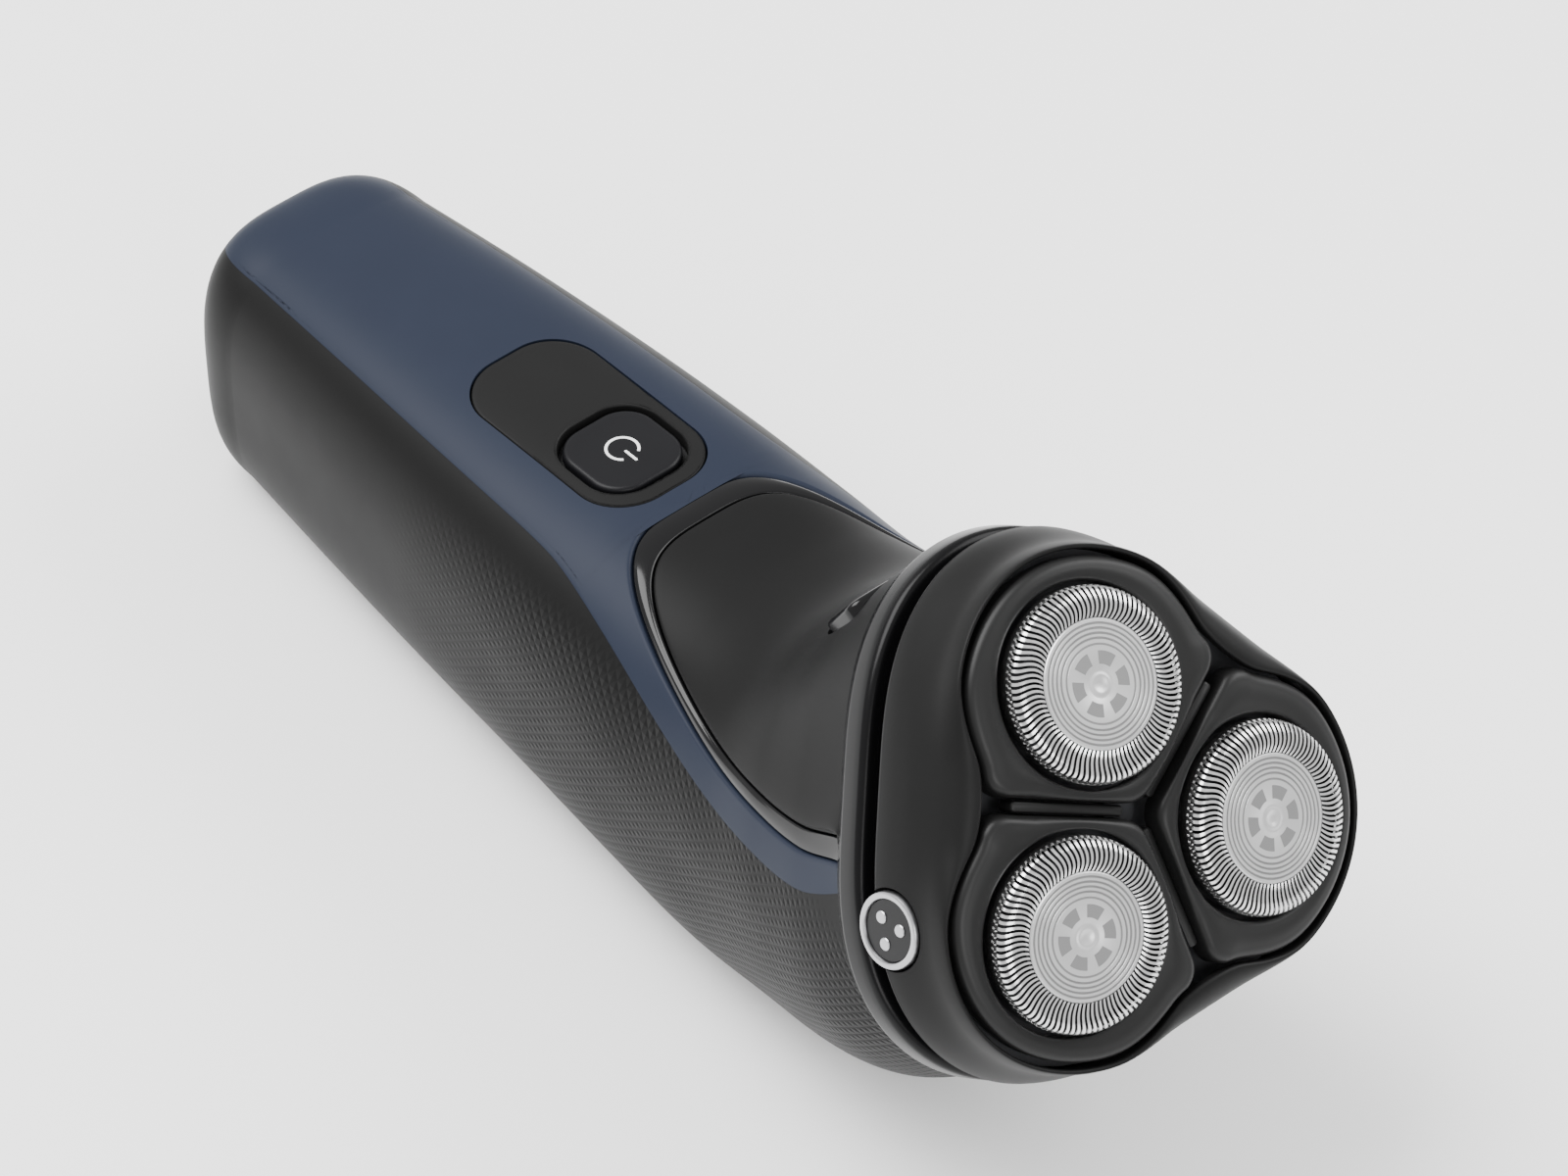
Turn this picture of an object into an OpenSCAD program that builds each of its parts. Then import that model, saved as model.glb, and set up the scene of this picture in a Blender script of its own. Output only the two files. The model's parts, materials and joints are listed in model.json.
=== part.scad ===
// Cordless rotary shaver: a tapered handle, an angled neck and a pivoting head with three cutters.
// The body is drawn with +Y towards the tail and +Z towards the front; lay() puts it on its back.

/* [Body] */
// Angle between the head's axis and the handle
head_tilt = 33.5; // [25:0.5:45]
// Angle by which the front slopes when the shaver lies on its back
lay_angle = 6; // [3:0.5:8]
// Wall thickness of the outer shells
wall = 2; // [1.4:0.1:2.4]
// Length of the rounded tail
tail_len = 9.5; // [6:0.5:14]

/* [Head] */
// Distance from the head's centre to each cap's centre
cap_pitch_r = 15.6; // [15.6:0.1:16.2]
// Outer radius of each slotted cap
cap_r = 10.75; // [9.5:0.05:11]
// Radius of the plain disc in each cap
disc_r = 7.1; // [6:0.1:7.4]
// Outward lean of each cap
cap_lean = 5.7; // [2:0.1:6.5]
// Mean radius of the head's rounded triangle
shell_r = 28.6; // [28:0.1:29.4]
// How far the head's corners stand out of a circle
shell_lobe = 2.9; // [2.4:0.1:3.2]

/* [Drive] */
// Teeth of the motor pinion
pinion_teeth = 14; // [14:1:14]
// Teeth of each driven gear
gear_teeth = 38; // [38:1:38]
// Motor can radius
motor_r = 10; // [8:0.5:11]
// Motor can length
motor_len = 28; // [22:1:30]

/* [Controls] */
// Half width of the power button
button_half = 6.1; // [5:0.1:6.4]
// Gap around the power button
button_gap = 0.9; // [0.5:0.1:1.2]
// Button panel length
panel_len = 30.4; // [28:0.2:34]
// Button panel width
panel_w = 16.8; // [15.6:0.2:18]

/* [Hidden] */

black = "#323232";
gloss = "#2c2c2e";
navy = "#4a5164";
silver = "#b5b5b5";
steel = "#9a9a9a";

floor_z = 59.6;      // height of the head's centre over the floor
body_y = -69.485;    // places the whole shaver about the middle of its length
gear_module = 0.6;
cap_angles = [90, 210, 330];

// Each station of the body: front y, front z, back y, back z, half width, front and back squareness
stations = [
    [144, -8.9, 144, -45.4, 16.4, 3.3, 3.3],
    [125, -8.1, 125, -47.2, 18.3, 3.3, 3.2],
    [105, -7.8, 105, -49.1, 20.0, 3.3, 3.1],
    [88, -7.8, 87, -51.0, 21.2, 3.2, 3.0],
    [74, -8.0, 70, -53.0, 22.4, 2.9, 2.9],
    [62, -8.0, 53, -54.8, 23.6, 2.6, 2.7],
    [52, -5.5, 37, -52.8, 25.2, 2.4, 2.5],
    [45, 1.0, 24, -48.6, 27.2, 2.3, 2.4],
    [40, 8.0, 13, -42.0, 28.6, 2.2, 2.3],
    [35.6, 13.9, 4.3, -33.3, 28.4, 2.2, 2.2]];
last = len(stations) - 1;
arch = 3.68;         // station where the neck's bezel begins
cover_arch = 3.95;   // station where the neck's cover begins
flank = 3.3;         // station where the seam starts down the flank
blend_from = 5.5;    // station where the sections start to turn into the head's outline
panel_y = 96;        // middle of the button panel
panel_round = 6.5;
button_y = 89.8;
button_round = 4.2;
front_z = -8.1;      // front surface at the button panel
end_y = 153.2;       // outer face of the tail's end
end_z = -26;
release_w = 17;
release_len = 8;
screw_rows = [60, 120];
screw_seat = 2.3;    // height of the screws' seats over the table
pin_y = -17;         // trimmer's pin, from the middle of its lid
pin_z = 3.6;
lid_top = 2;         // inside of the trimmer's lid
lid_station = 3.27;
shell_back = -14;    // back edge of the head shell, along the head's axis
collar_front = -17;
collar_back = -22;
pivot_w = -15;       // height of the head's pivot
pivot_x = 27.2;      // outer face of the pivot lugs
badge_x = 29.04;     // middle of a badge's face, in the head's frame
badge_u = 0.5;
badge_w = -11.8;
badge_turn = 17;
badge_lean = 11;
badge_r = 4.3;
hinge_u = -26.4;     // hinge of the head shell, at the back of the head
hinge_w = -15.4;
gear_low = -21.6;
gear_thick = 3;
trimmer_y = 84;
trimmer_w = 24;
trimmer_len = 44;
trimmer_up = 0.3;    // how far the trimmer's lid stays off the table
holder_r = 15;       // round end of a holder, about its cap
corner_r = 20.3;     // where two holders' outlines meet, from the head's centre
corner_turn = 46;    // angle from a cap's middle where its round end stops
rim = 2.2;           // least width of the head's edge outside a holder
opening_gap = 0.5;
spindle_r = 1.2;

function mix(a, b, t) = a + (b - a) * t;
function signed_pow(v, e) = sign(v) * pow(abs(v), e);
function spline(a, b, c, d, t) = 0.5 * (2 * b + (c - a) * t + (2 * a - 5 * b + 4 * c - d) * t * t
    + (3 * b - a - 3 * c + d) * t * t * t);
function along(s) = let (i = min(floor(s), last - 1))
    spline(stations[max(i - 1, 0)], stations[i], stations[i + 1], stations[min(i + 2, last)], s - i);

// The tail is rounded: stations below 0 shrink towards the end
function tail(t) = let (k = 1 - pow(1 - pow(t, 2.6), 1 / 2.6), q = stations[0])
    [q[0] + tail_len * t, q[1] - 3 * k, q[2] + tail_len * t, q[3] + 6.5 * k, q[4] - 7.5 * k, q[5], q[6]];
function station(s) = s < 0 ? tail(-s) : along(s);

// Share of the head's rounded triangle in the section at station s
function head_share(s) = let (t = min(max((s - blend_from) / (last - blend_from), 0), 1))
    t * t * (3 - 2 * t);
function lobe(phi) = (shell_r + shell_lobe * cos(3 * (phi - 90))) / shell_r;

// A point of the body's surface, sunk by inset
function skin(s, phi, inset) = let (
    q = station(s),
    front = [0, q[0], q[1]],
    back = [0, q[2], q[3]],
    span = norm(front - back),
    up = (front - back) / span,
    e = 2 / (sin(phi) > 0 ? q[5] : q[6]),
    t = head_share(s),
    x = mix(signed_pow(cos(phi), e), lobe(phi) * cos(phi), t),
    h = mix(signed_pow(sin(phi), e), lobe(phi) * sin(phi) - shell_lobe / shell_r, t))
    (front + back) / 2 + [(q[4] - inset) * x, 0, 0] + up * (span / 2 - inset) * h;

// Seams, as the angle from the middle of the front at station s
function flank_seam(s) = let (t = min(max((s - flank) / (last - flank), 0), 1))
    38 + 46 * (1 - pow(1 - t, 1.5));
function bezel_seam(s) = s <= arch ? 0 : 38 * pow(s - arch, 0.42);
function cover_seam(s) = s <= cover_arch ? 0 : 37 * pow(s - cover_arch, 0.4);

tail_rows = [-0.97, -0.9, -0.75, -0.5, -0.25];
handle_rows = [0, 0.7, 1.5, 2.2, 3, 3.4];
arch_rows = [3.67, 3.7, 3.76, 3.85, 3.94];
neck_rows = [3.97, 4.04, 4.2, 4.5, 5, 5.6, 6.2, 6.8, 7.4, 8, 8.5, 9];
all_rows = concat(tail_rows, handle_rows, arch_rows, neck_rows);

function bands(rows, cols, from, to, inset) = [for (s = rows) for (j = [0:cols])
    skin(s, mix(from(s), to(s), j / cols), inset)];
function quad(a, b, c, d) = [[a, b, c], [a, c, d]];
function joined(list) = [for (pair = list) for (face = pair) face];

// A closed shell between two sunk copies of the surface, from one seam to the other
module strip(rows, cols, from, to, outer = 0, inner = wall) {
    w = cols + 1;
    n = len(rows);
    half = w * n;
    points = concat(bands(rows, cols, from, to, outer), bands(rows, cols, from, to, inner));
    function at(i, j, side) = side * half + i * w + j;
    faces = joined(concat(
        [for (i = [0:n - 2]) for (j = [0:cols - 1])
            quad(at(i, j, 0), at(i, j + 1, 0), at(i + 1, j + 1, 0), at(i + 1, j, 0))],
        [for (i = [0:n - 2]) for (j = [0:cols - 1])
            quad(at(i, j, 1), at(i + 1, j, 1), at(i + 1, j + 1, 1), at(i, j + 1, 1))],
        [for (i = [0:n - 2]) quad(at(i, 0, 0), at(i + 1, 0, 0), at(i + 1, 0, 1), at(i, 0, 1))],
        [for (i = [0:n - 2])
            quad(at(i, cols, 0), at(i, cols, 1), at(i + 1, cols, 1), at(i + 1, cols, 0))],
        [for (j = [0:cols - 1]) quad(at(0, j, 0), at(0, j, 1), at(0, j + 1, 1), at(0, j + 1, 0))],
        [for (j = [0:cols - 1])
            quad(at(n - 1, j, 0), at(n - 1, j + 1, 0), at(n - 1, j + 1, 1), at(n - 1, j, 1))]));
    polyhedron(points, faces);
}

// Lays the body's own frame on its back
module lay() {
    translate([0, body_y, floor_z]) rotate([-lay_angle, 0, 0]) children();
}

// The head's frame: +Z out of the cutters, +Y towards the head's top
module in_head() {
    lay() rotate([90 - head_tilt, 0, 0]) children();
}

// Frame of one cap: origin at its centre, +X outward from the head's centre
module at_cap(angle) {
    in_head() rotate(angle) translate([cap_pitch_r, 0, 0]) rotate([0, cap_lean, 0]) children();
}

module slab(w, l, r) {
    translate([-w / 2 + r, -l / 2 + r]) square([w - 2 * r, l - 2 * r]);
    translate([-w / 2, -l / 2 + r]) square([w, l - 2 * r]);
    translate([-w / 2 + r, -l / 2]) square([w - 2 * r, l]);
    for (x = [-1, 1]) for (y = [-1, 1])
        translate([x * (w / 2 - r), y * (l / 2 - r)]) circle(r = r, $fn = 48);
}

// Places of the four screws that hold the back to the inner frame
module at_screws() {
    for (x = [-10.5, 10.5]) for (y = screw_rows) translate([x, body_y + y, 0]) children();
}

module tri_outline(shrink) {
    polygon([for (a = [0:5:355]) let (r = shell_r - shrink + shell_lobe * cos(3 * (a - 90)))
        [r * cos(a), r * sin(a)]]);
}

module at_angles(radius) {
    for (a = cap_angles) rotate(a) translate([radius, 0, 0]) children();
}

// ---- Handle shells ----

module rear_housing() {
    color(black) difference() {
        lay() strip(all_rows, 30, function(s) 90 + flank_seam(s), function(s) 450 - flank_seam(s));
        trimmer_opening();
        // The part that touches the table is one plane
        translate([-60, -120, -20]) cube([120, 240, 20]);
        at_screws() translate([0, 0, -1]) cylinder(r = 2, h = screw_seat + 1, $fn = 32);
        at_screws() cylinder(r = 1.15, h = 8, $fn = 32);
    }
}

module front_half() {
    strip(all_rows, 6, function(s) 90 - flank_seam(s), function(s) 90 - bezel_seam(s));
}

module front_cover() {
    color(navy) lay() difference() {
        union() {
            front_half();
            mirror([1, 0, 0]) front_half();
        }
        translate([0, panel_y, -20]) linear_extrude(20)
            slab(panel_w + 0.3, panel_len + 0.3, panel_round);
    }
}

// The bezel keeps a hair's gap from the front cover
module bezel_half() {
    strip([for (s = concat(arch_rows, neck_rows)) if (s > arch + 0.05) s], 2,
        function(s) 90.25 - bezel_seam(s - 0.03), function(s) 90 - cover_seam(s), 0.1, wall - 0.2);
}

module neck_bezel() {
    color(gloss) lay() {
        bezel_half();
        mirror([1, 0, 0]) bezel_half();
    }
}

module neck_cover() {
    color(black) lay() difference() {
        strip(neck_rows, 14, function(s) 90 - cover_seam(s), function(s) 90 + cover_seam(s));
        at_release() translate([0, 0, -6]) linear_extrude(12)
            slab(release_w + 0.8, release_len + 0.8, 2);
    }
}

module end_cap() {
    color(black) lay() difference() {
        translate([0, end_y - 0.2, end_z]) rotate([90, 0, 0]) linear_extrude(1.8)
            slab(18.9, 26, 7);
        translate([0, end_y + 1, end_z]) rotate([90, 0, 0]) linear_extrude(4) slab(10.6, 7.8, 2.8);
    }
}

// ---- Controls ----

module button_panel() {
    color(black) lay() difference() {
        translate([0, panel_y, front_z - 2]) linear_extrude(2) slab(panel_w, panel_len, panel_round);
        translate([0, button_y, front_z - 3]) linear_extrude(4)
            slab(2 * (button_half + button_gap), 2 * (button_half + button_gap), button_round + button_gap);
    }
}

module button_seal() {
    color(gloss) lay() translate([0, button_y, front_z - 2.9]) linear_extrude(0.8) difference() {
        slab(15.6, 16, 4);
        slab(7, 7, 2);
    }
}

module power_button() {
    color(black) lay() translate([0, button_y, 0]) {
        translate([0, 0, front_z - 1.3]) linear_extrude(1.4)
            slab(2 * button_half, 2 * button_half, button_round);
        translate([0, 0, front_z - 4]) cylinder(r = 2.2, h = 2.8, $fn = 40);
    }
}

module circuit_board() {
    color("#1f5c3a") lay() translate([0, 100, -19]) linear_extrude(1.4) difference() {
        slab(22, 78, 2);
        for (y = [-33, 33]) translate([0, y]) circle(r = 1.3, $fn = 24);
    }
}

module tact_switch() {
    color(steel) lay() translate([0, button_y, -17.6]) {
        translate([-3, -3, 0]) cube([6, 6, 3.6]);
        translate([0, 0, 3.6]) cylinder(r = 1.6, h = 1, $fn = 32);
    }
}

module board_parts() {
    color("#26262a") lay() {
        for (y = [106, 114, 122]) translate([-4, y, -17.6]) cube([6, 5, 1.2]);
        translate([6, 112, -17.6]) cylinder(r = 2.5, h = 4, $fn = 32);
        translate([-7, 76, -17.6]) cube([4, 4, 2]);
        translate([5, 72, -17.6]) cube([3, 6, 1.4]);
    }
}

module charging_socket() {
    color(gloss) lay() translate([0, end_y, end_z]) rotate([90, 0, 0]) difference() {
        translate([0, 0, 0.4]) linear_extrude(12) slab(10.6, 7.8, 2.8);
        translate([0, 0, -1]) linear_extrude(9.4) slab(8.6, 5.8, 2);
        for (x = [-1.9, 1.9]) translate([x, 0, 8]) cylinder(r = 0.78, h = 6, $fn = 24);
    }
}

module charging_pins() {
    color(silver) lay() for (x = [-1.9, 1.9])
        translate([x, end_y - 4.8, end_z]) rotate([90, 0, 0]) cylinder(r = 0.78, h = 8.6, $fn = 24);
}

// ---- Inside the handle ----

// Height of the frame's plate over the table at body length y
function boss_top(y) = floor_z - y * sin(lay_angle) - 22 * cos(lay_angle);

module inner_frame() {
    color("#6a6a6e") difference() {
        union() {
            lay() {
                translate([-12, 57, -23]) cube([24, 82, 1.8]);
                for (x = [-12, 10.4]) translate([x, 61, -21.5]) cube([1.6, 78, 2.5]);
                for (y = [84.2, 137.4]) translate([-9, y, -40]) cube([18, 1.6, 17.5]);
            }
            for (x = [-10.5, 10.5]) for (y = screw_rows) translate([x, body_y + y, 4.4])
                cylinder(r = 2.4, h = boss_top(y) - 4.4, $fn = 40);
            // Leg that holds the trimmer's pin
            at_trimmer() {
                translate([-3.6, pin_y - 2.4, pin_z]) cube([7.2, 4.8, 26]);
                translate([-3.6, pin_y, pin_z]) rotate([0, 90, 0]) cylinder(r = 2.4, h = 7.2, $fn = 48);
            }
        }
        at_screws() cylinder(r = 1, h = 16, $fn = 24);
        at_trimmer() translate([-6, pin_y, pin_z]) rotate([0, 90, 0]) cylinder(r = 0.8, h = 12, $fn = 32);
    }
}

module battery() {
    color("#3f7fae") lay() translate([0, 86.4, -32.6]) rotate([-90, 0, 0]) {
        cylinder(r = 7.2, h = 49.4, $fn = 64);
        translate([0, 0, 49.4]) cylinder(r = 2.6, h = 0.6, $fn = 32);
    }
}

module battery_tabs() {
    color(silver) lay() {
        translate([-2, 85.9, -36]) cube([4, 0.4, 12.9]);
        translate([-2, 136.5, -36]) cube([4, 0.4, 12.9]);
    }
}

module housing_screws() {
    color(steel) at_screws() {
        translate([0, 0, screw_seat - 0.1]) cylinder(r = 1, h = 12, $fn = 24);
        translate([0, 0, screw_seat - 0.9]) difference() {
            cylinder(r = 1.8, h = 0.9, $fn = 32);
            for (a = [0, 90]) rotate(a) translate([-1, -0.2, -0.5]) cube([2, 0.4, 1]);
        }
    }
}

// ---- Drive ----

module motor() {
    top = -26.2;
    color(steel) in_head() difference() {
        union() {
            translate([0, 0, top - motor_len]) cylinder(r = motor_r, h = motor_len, $fn = 96);
            translate([0, 0, top - motor_len - 2]) cylinder(r = 3, h = 2, $fn = 48);
            translate([0, 0, top]) cylinder(r = 3, h = 1, $fn = 48);
        }
        translate([0, 0, top - 8]) cylinder(r = 1.05, h = 20, $fn = 40);
        for (a = [30, 210]) rotate(a) translate([7, 0, top - 3]) cylinder(r = 0.85, h = 4, $fn = 24);
    }
}

module motor_screws() {
    color(silver) in_head() for (a = [30, 210]) rotate(a) translate([7, 0, -28.4]) {
        cylinder(r = 0.8, h = 5.4, $fn = 24);
        translate([0, 0, 5.4]) cylinder(r = 1.6, h = 1, $fn = 32);
    }
}

module motor_shaft() {
    color(silver) in_head() translate([0, 0, -33]) cylinder(r = 1, h = 15, $fn = 40);
}

function tooth_ring(teeth, phase) = let (
    pitch_r = teeth * gear_module / 2,
    tip = pitch_r + 0.8 * gear_module,
    root = pitch_r - 1.15 * gear_module,
    step = 360 / teeth)
    [for (i = [0:teeth - 1]) for (p = [[-0.27, root], [-0.13, tip], [0.13, tip], [0.27, root]])
        let (a = phase + step * (i + p[0])) p[1] * [cos(a), sin(a)]];

module drive_pinion() {
    color("#c9a24a") in_head() translate([0, 0, gear_low - 0.2]) difference() {
        linear_extrude(gear_thick + 0.3) polygon(tooth_ring(pinion_teeth, 90));
        translate([0, 0, -1]) cylinder(r = 1, h = gear_thick + 3, $fn = 40);
    }
}

// A driven gear with the cup that takes a spindle's foot
module drive_gear(angle) {
    slip = (angle - 90) * pinion_teeth / 360;
    phase = angle + 180 + (slip - floor(slip) + 0.5) * 360 / gear_teeth;
    color("#e6e2d6") in_head() translate([cap_pitch_r * cos(angle), cap_pitch_r * sin(angle), gear_low])
        difference() {
            union() {
                linear_extrude(gear_thick) polygon(tooth_ring(gear_teeth, phase));
                cylinder(r = 3.8, h = 6.2, $fn = 64);
            }
            translate([0, 0, 3.2]) cylinder(r = 2.7, h = 4, $fn = 48);
            translate([0, 0, -1]) cylinder(r = 1.25, h = 3.4, $fn = 40);
        }
}

module gear_plate() {
    color("#6a6a6e") in_head() difference() {
        translate([0, 0, -24.6]) linear_extrude(1.6) tri_outline(5.4);
        translate([0, 0, -26]) cylinder(r = 3.6, h = 5, $fn = 48);
        for (a = [30, 210]) rotate(a) translate([7, 0, -26]) cylinder(r = 0.95, h = 5, $fn = 24);
        at_angles(cap_pitch_r) translate([0, 0, -26]) cylinder(r = 1.2, h = 5, $fn = 40);
    }
}

module gear_posts() {
    color(silver) in_head() at_angles(cap_pitch_r) translate([0, 0, -24.6])
        cylinder(r = 1.2, h = 5.2, $fn = 40);
}

// ---- Neck and pivot ----

module collar() {
    color(gloss) in_head() difference() {
        union() {
            translate([0, 0, collar_back]) linear_extrude(collar_front - collar_back) tri_outline(-0.6);
            for (x = [-1, 1]) translate([x * (pivot_x - 0.95) - 0.95, -2.8, collar_front - 0.2])
                cube([1.9, 5.6, 5.2]);
        }
        translate([0, 0, collar_back - 1]) linear_extrude(5) tri_outline(1.6);
        at_angles(cap_pitch_r) translate([0, 0, -20]) cylinder(r = 4.4, h = 5, $fn = 48);
        translate([-9.5, -34, -19.6]) cube([19, 11.4, 4]);
        translate([-40, 0, pivot_w]) rotate([0, 90, 0]) cylinder(r = 1.5, h = 80, $fn = 40);
    }
}

module collar_seal() {
    color("#202022") in_head() translate([0, 0, -23]) linear_extrude(1) difference() {
        tri_outline(2.6);
        tri_outline(4.6);
    }
}

module release_button() {
    color(gloss) lay() at_release() {
        translate([0, 0, -1.9]) linear_extrude(2.1) slab(release_w, release_len, 1.8);
        translate([0, 0, -4.2]) cylinder(r = 1.5, h = 2.4, $fn = 40);
    }
}

module release_spring() {
    color(steel) lay() at_release() translate([0, 0, -7.4]) difference() {
        cylinder(r = 2.2, h = 3.7, $fn = 40);
        translate([0, 0, -1]) cylinder(r = 1.6, h = 6, $fn = 40);
    }
}

module pivot_pins() {
    color(silver) in_head() for (x = [-1, 1]) translate([x * 24.2 - 2.9, 0, pivot_w])
        rotate([0, 90, 0]) cylinder(r = 1.5, h = 5.8, $fn = 40);
}

// Frame of a badge: its face looks out of the side, up and a little forward
module at_badge() {
    translate([badge_x, badge_u, badge_w]) rotate([0, 0, badge_turn]) rotate([0, 90 - badge_lean, 0])
        children();
}

module badge() {
    at_badge() translate([0, 0, -1.2]) cylinder(r = badge_r, h = 1.2, $fn = 64);
    translate([pivot_x, 0, -13.2]) rotate([0, 90, 0]) cylinder(r = 1, h = 1.3, $fn = 32);
}

module pivot_badges() {
    color(silver) in_head() {
        badge();
        mirror([1, 0, 0]) badge();
    }
}

module hair_chamber() {
    floor_w = -13.6;
    color("#39393c") in_head() difference() {
        union() {
            difference() {
                translate([0, 0, floor_w]) linear_extrude(4.4) tri_outline(4.6);
                translate([0, 0, floor_w + 1.2]) linear_extrude(5) tri_outline(6);
            }
            for (x = [-1, 1]) translate([x * 22.7 - 0.8, -3, -16.6]) cube([1.6, 6, 4]);
            translate([-4, hinge_u, -15.6]) cube([8, 6, 1.2]);
            translate([-4, -23.2, -15.6]) cube([8, 3.2, 3.2]);
            translate([-4, hinge_u, hinge_w]) rotate([0, 90, 0]) cylinder(r = 1.2, h = 8, $fn = 40);
        }
        at_angles(cap_pitch_r) translate([0, 0, floor_w - 1]) cylinder(r = 2.2, h = 5, $fn = 40);
        translate([-40, 0, pivot_w]) rotate([0, 90, 0]) cylinder(r = 1.56, h = 80, $fn = 40);
        translate([-5, hinge_u, hinge_w]) rotate([0, 90, 0]) cylinder(r = 0.66, h = 10, $fn = 32);
    }
}

module spindle_seals() {
    color("#202022") in_head() at_angles(cap_pitch_r) translate([0, 0, -13.6]) difference() {
        cylinder(r = 2.2, h = 1.2, $fn = 40);
        translate([0, 0, -1]) cylinder(r = spindle_r + 0.05, h = 4, $fn = 40);
    }
}

// A spindle turns in the chamber; its foot sits loosely in the gear's cup
module spindle(angle) {
    color("#e6e2d6") in_head() translate([cap_pitch_r * cos(angle), cap_pitch_r * sin(angle), 0]) {
        translate([0, 0, -17.1]) cylinder(r = 1.6, h = 0.9, $fn = 40);
        translate([0, 0, -16.2]) cylinder(r = spindle_r, h = 9.4, $fn = 40);
        translate([-0.7, -0.7, -6.9]) cube([1.4, 1.4, 1.2]);
    }
}

module hinge_pin() {
    color(silver) in_head() translate([-8, hinge_u, hinge_w]) rotate([0, 90, 0])
        cylinder(r = 0.6, h = 16, $fn = 32);
}

// ---- Head ----

// Rows of the shell: place along the axis and share of the way from its outline to its opening
shell_rows = [[0, 0], [0.4, 0], [0.64, 0.1], [0.82, 0.32], [0.94, 0.68], [1, 1]];

// The opening follows three holders; its edge is highest between them
function fold(a) = abs((a + 330) % 120 - 60);
function outline(a) = shell_r + shell_lobe * cos(3 * (a - 90));
function lobe_edge(a, grow) = let (
    c = cap_pitch_r * cos(a),
    r = holder_r + grow,
    corner = corner_r + grow)
    min(outline(a + 90) - rim + grow,
        a < corner_turn ? c + sqrt(r * r - pow(cap_pitch_r * sin(a), 2)) : corner / cos(60 - a));
function opening_edge(a) = lobe_edge(fold(a), opening_gap);
function edge_w(a) = -3.2 - 1.1 * cos(3 * (a - 90));

// Closed polyhedron between the shell's outside and inside
module shell_body() {
    cols = 72;
    function outer_pt(a, q) = [mix(outline(a), opening_edge(a), q[1]), mix(shell_back, edge_w(a), q[0])];
    function inner_pt(a, k) = k == 0 ? [opening_edge(a), edge_w(a) - 1.2]
        : k == 1 ? [min(outline(a) - 1.7, opening_edge(a) + 3), -6.4]
        : [outline(a) - 1.6, k == 2 ? -7.4 : shell_back];
    rings = concat(
        [for (q = shell_rows) [for (j = [0:cols - 1]) outer_pt(j * 360 / cols, q)]],
        [for (k = [0:3]) [for (j = [0:cols - 1]) inner_pt(j * 360 / cols, k)]]);
    n = len(rings);
    points = [for (ring = rings) for (j = [0:cols - 1])
        [ring[j][0] * cos(j * 360 / cols), ring[j][0] * sin(j * 360 / cols), ring[j][1]]];
    faces = joined([for (i = [0:n - 1]) for (j = [0:cols - 1]) let (
        k = (i + 1) % n, m = (j + 1) % cols)
        quad(i * cols + j, k * cols + j, k * cols + m, i * cols + m)]);
    polyhedron(points, faces);
}

module badge_gap() {
    at_badge() translate([0, 0, -6]) cylinder(r = badge_r + 0.5, h = 10, $fn = 64);
}

module head_shell() {
    color(black) in_head() difference() {
        union() {
            shell_body();
            for (x = [-1, 1]) translate([x * 6.2 - 1.8, hinge_u - 0.9, hinge_w])
                cube([3.6, 2.6, 2.4]);
            for (x = [-1, 1]) translate([x * 6.2 - 1.8, hinge_u, hinge_w]) rotate([0, 90, 0])
                cylinder(r = 1.2, h = 3.6, $fn = 40);
        }
        translate([-9, hinge_u, hinge_w]) rotate([0, 90, 0]) cylinder(r = 0.66, h = 18, $fn = 32);
        badge_gap();
        mirror([1, 0, 0]) badge_gap();
    }
}

module groove_bars() {
    color(black) in_head() for (a = [30, 150, 270]) rotate(a)
        translate([2, -0.45, -5]) cube([14.5, 0.9, 3]);
}

// A holder fills a third of the shell's front and carries one cap
module holder(angle) {
    groove = 1.1;
    outline = [for (a = [-60:3:60]) let (r = lobe_edge(abs(a), 0)) [r * cos(a), r * sin(a)]];
    color(black) at_cap(angle) difference() {
        translate([0, 0, -5.2]) linear_extrude(3.2) intersection() {
            translate([-cap_pitch_r, 0]) polygon(concat([[0, 0]], outline));
            translate([groove / cos(30) - cap_pitch_r, 0])
                polygon([[0, 0], [40 * cos(60), -40 * sin(60)], [60, 0], [40 * cos(60), 40 * sin(60)]]);
        }
        translate([0, 0, -8]) cylinder(r = cap_r + 0.55, h = 12, $fn = 96);
        translate([0, 0, -8]) cylinder(r = cap_r + 1.35, h = 4.4, $fn = 96);
    }
}

module cap(angle) {
    color(silver) at_cap(angle) rotate_extrude($fn = 96) polygon([[disc_r, -0.1], [disc_r, 0.45],
        [cap_r - 0.5, 0.45], [cap_r, 0], [cap_r, -3.9], [cap_r + 1.1, -3.9], [cap_r + 1.1, -4.4],
        [cap_r - 0.5, -4.4], [cap_r - 0.5, -0.1]]);
}

module disc(angle) {
    color("#c4c4c4") at_cap(angle) difference() {
        translate([0, 0, -0.7]) cylinder(r = disc_r, h = 1.05, $fn = 96);
        translate([0, 0, 0.15]) cylinder(r = 0.9, h = 1, $fn = 40);
    }
}

module cutter(angle) {
    blades = 15;
    color(steel) at_cap(angle) difference() {
        union() {
            translate([0, 0, -2.6]) cylinder(r = 9.7, h = 0.6, $fn = 96);
            translate([0, 0, -6.6]) cylinder(r = 3, h = 4.2, $fn = 48);
            for (i = [0:blades - 1]) rotate(i * 360 / blades) translate([7.5, -0.3, -2.2])
                cube([2, 0.6, 1.95]);
        }
        translate([0, 0, -7]) cylinder(r = 2.2, h = 3.6, $fn = 40);
    }
}

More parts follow.
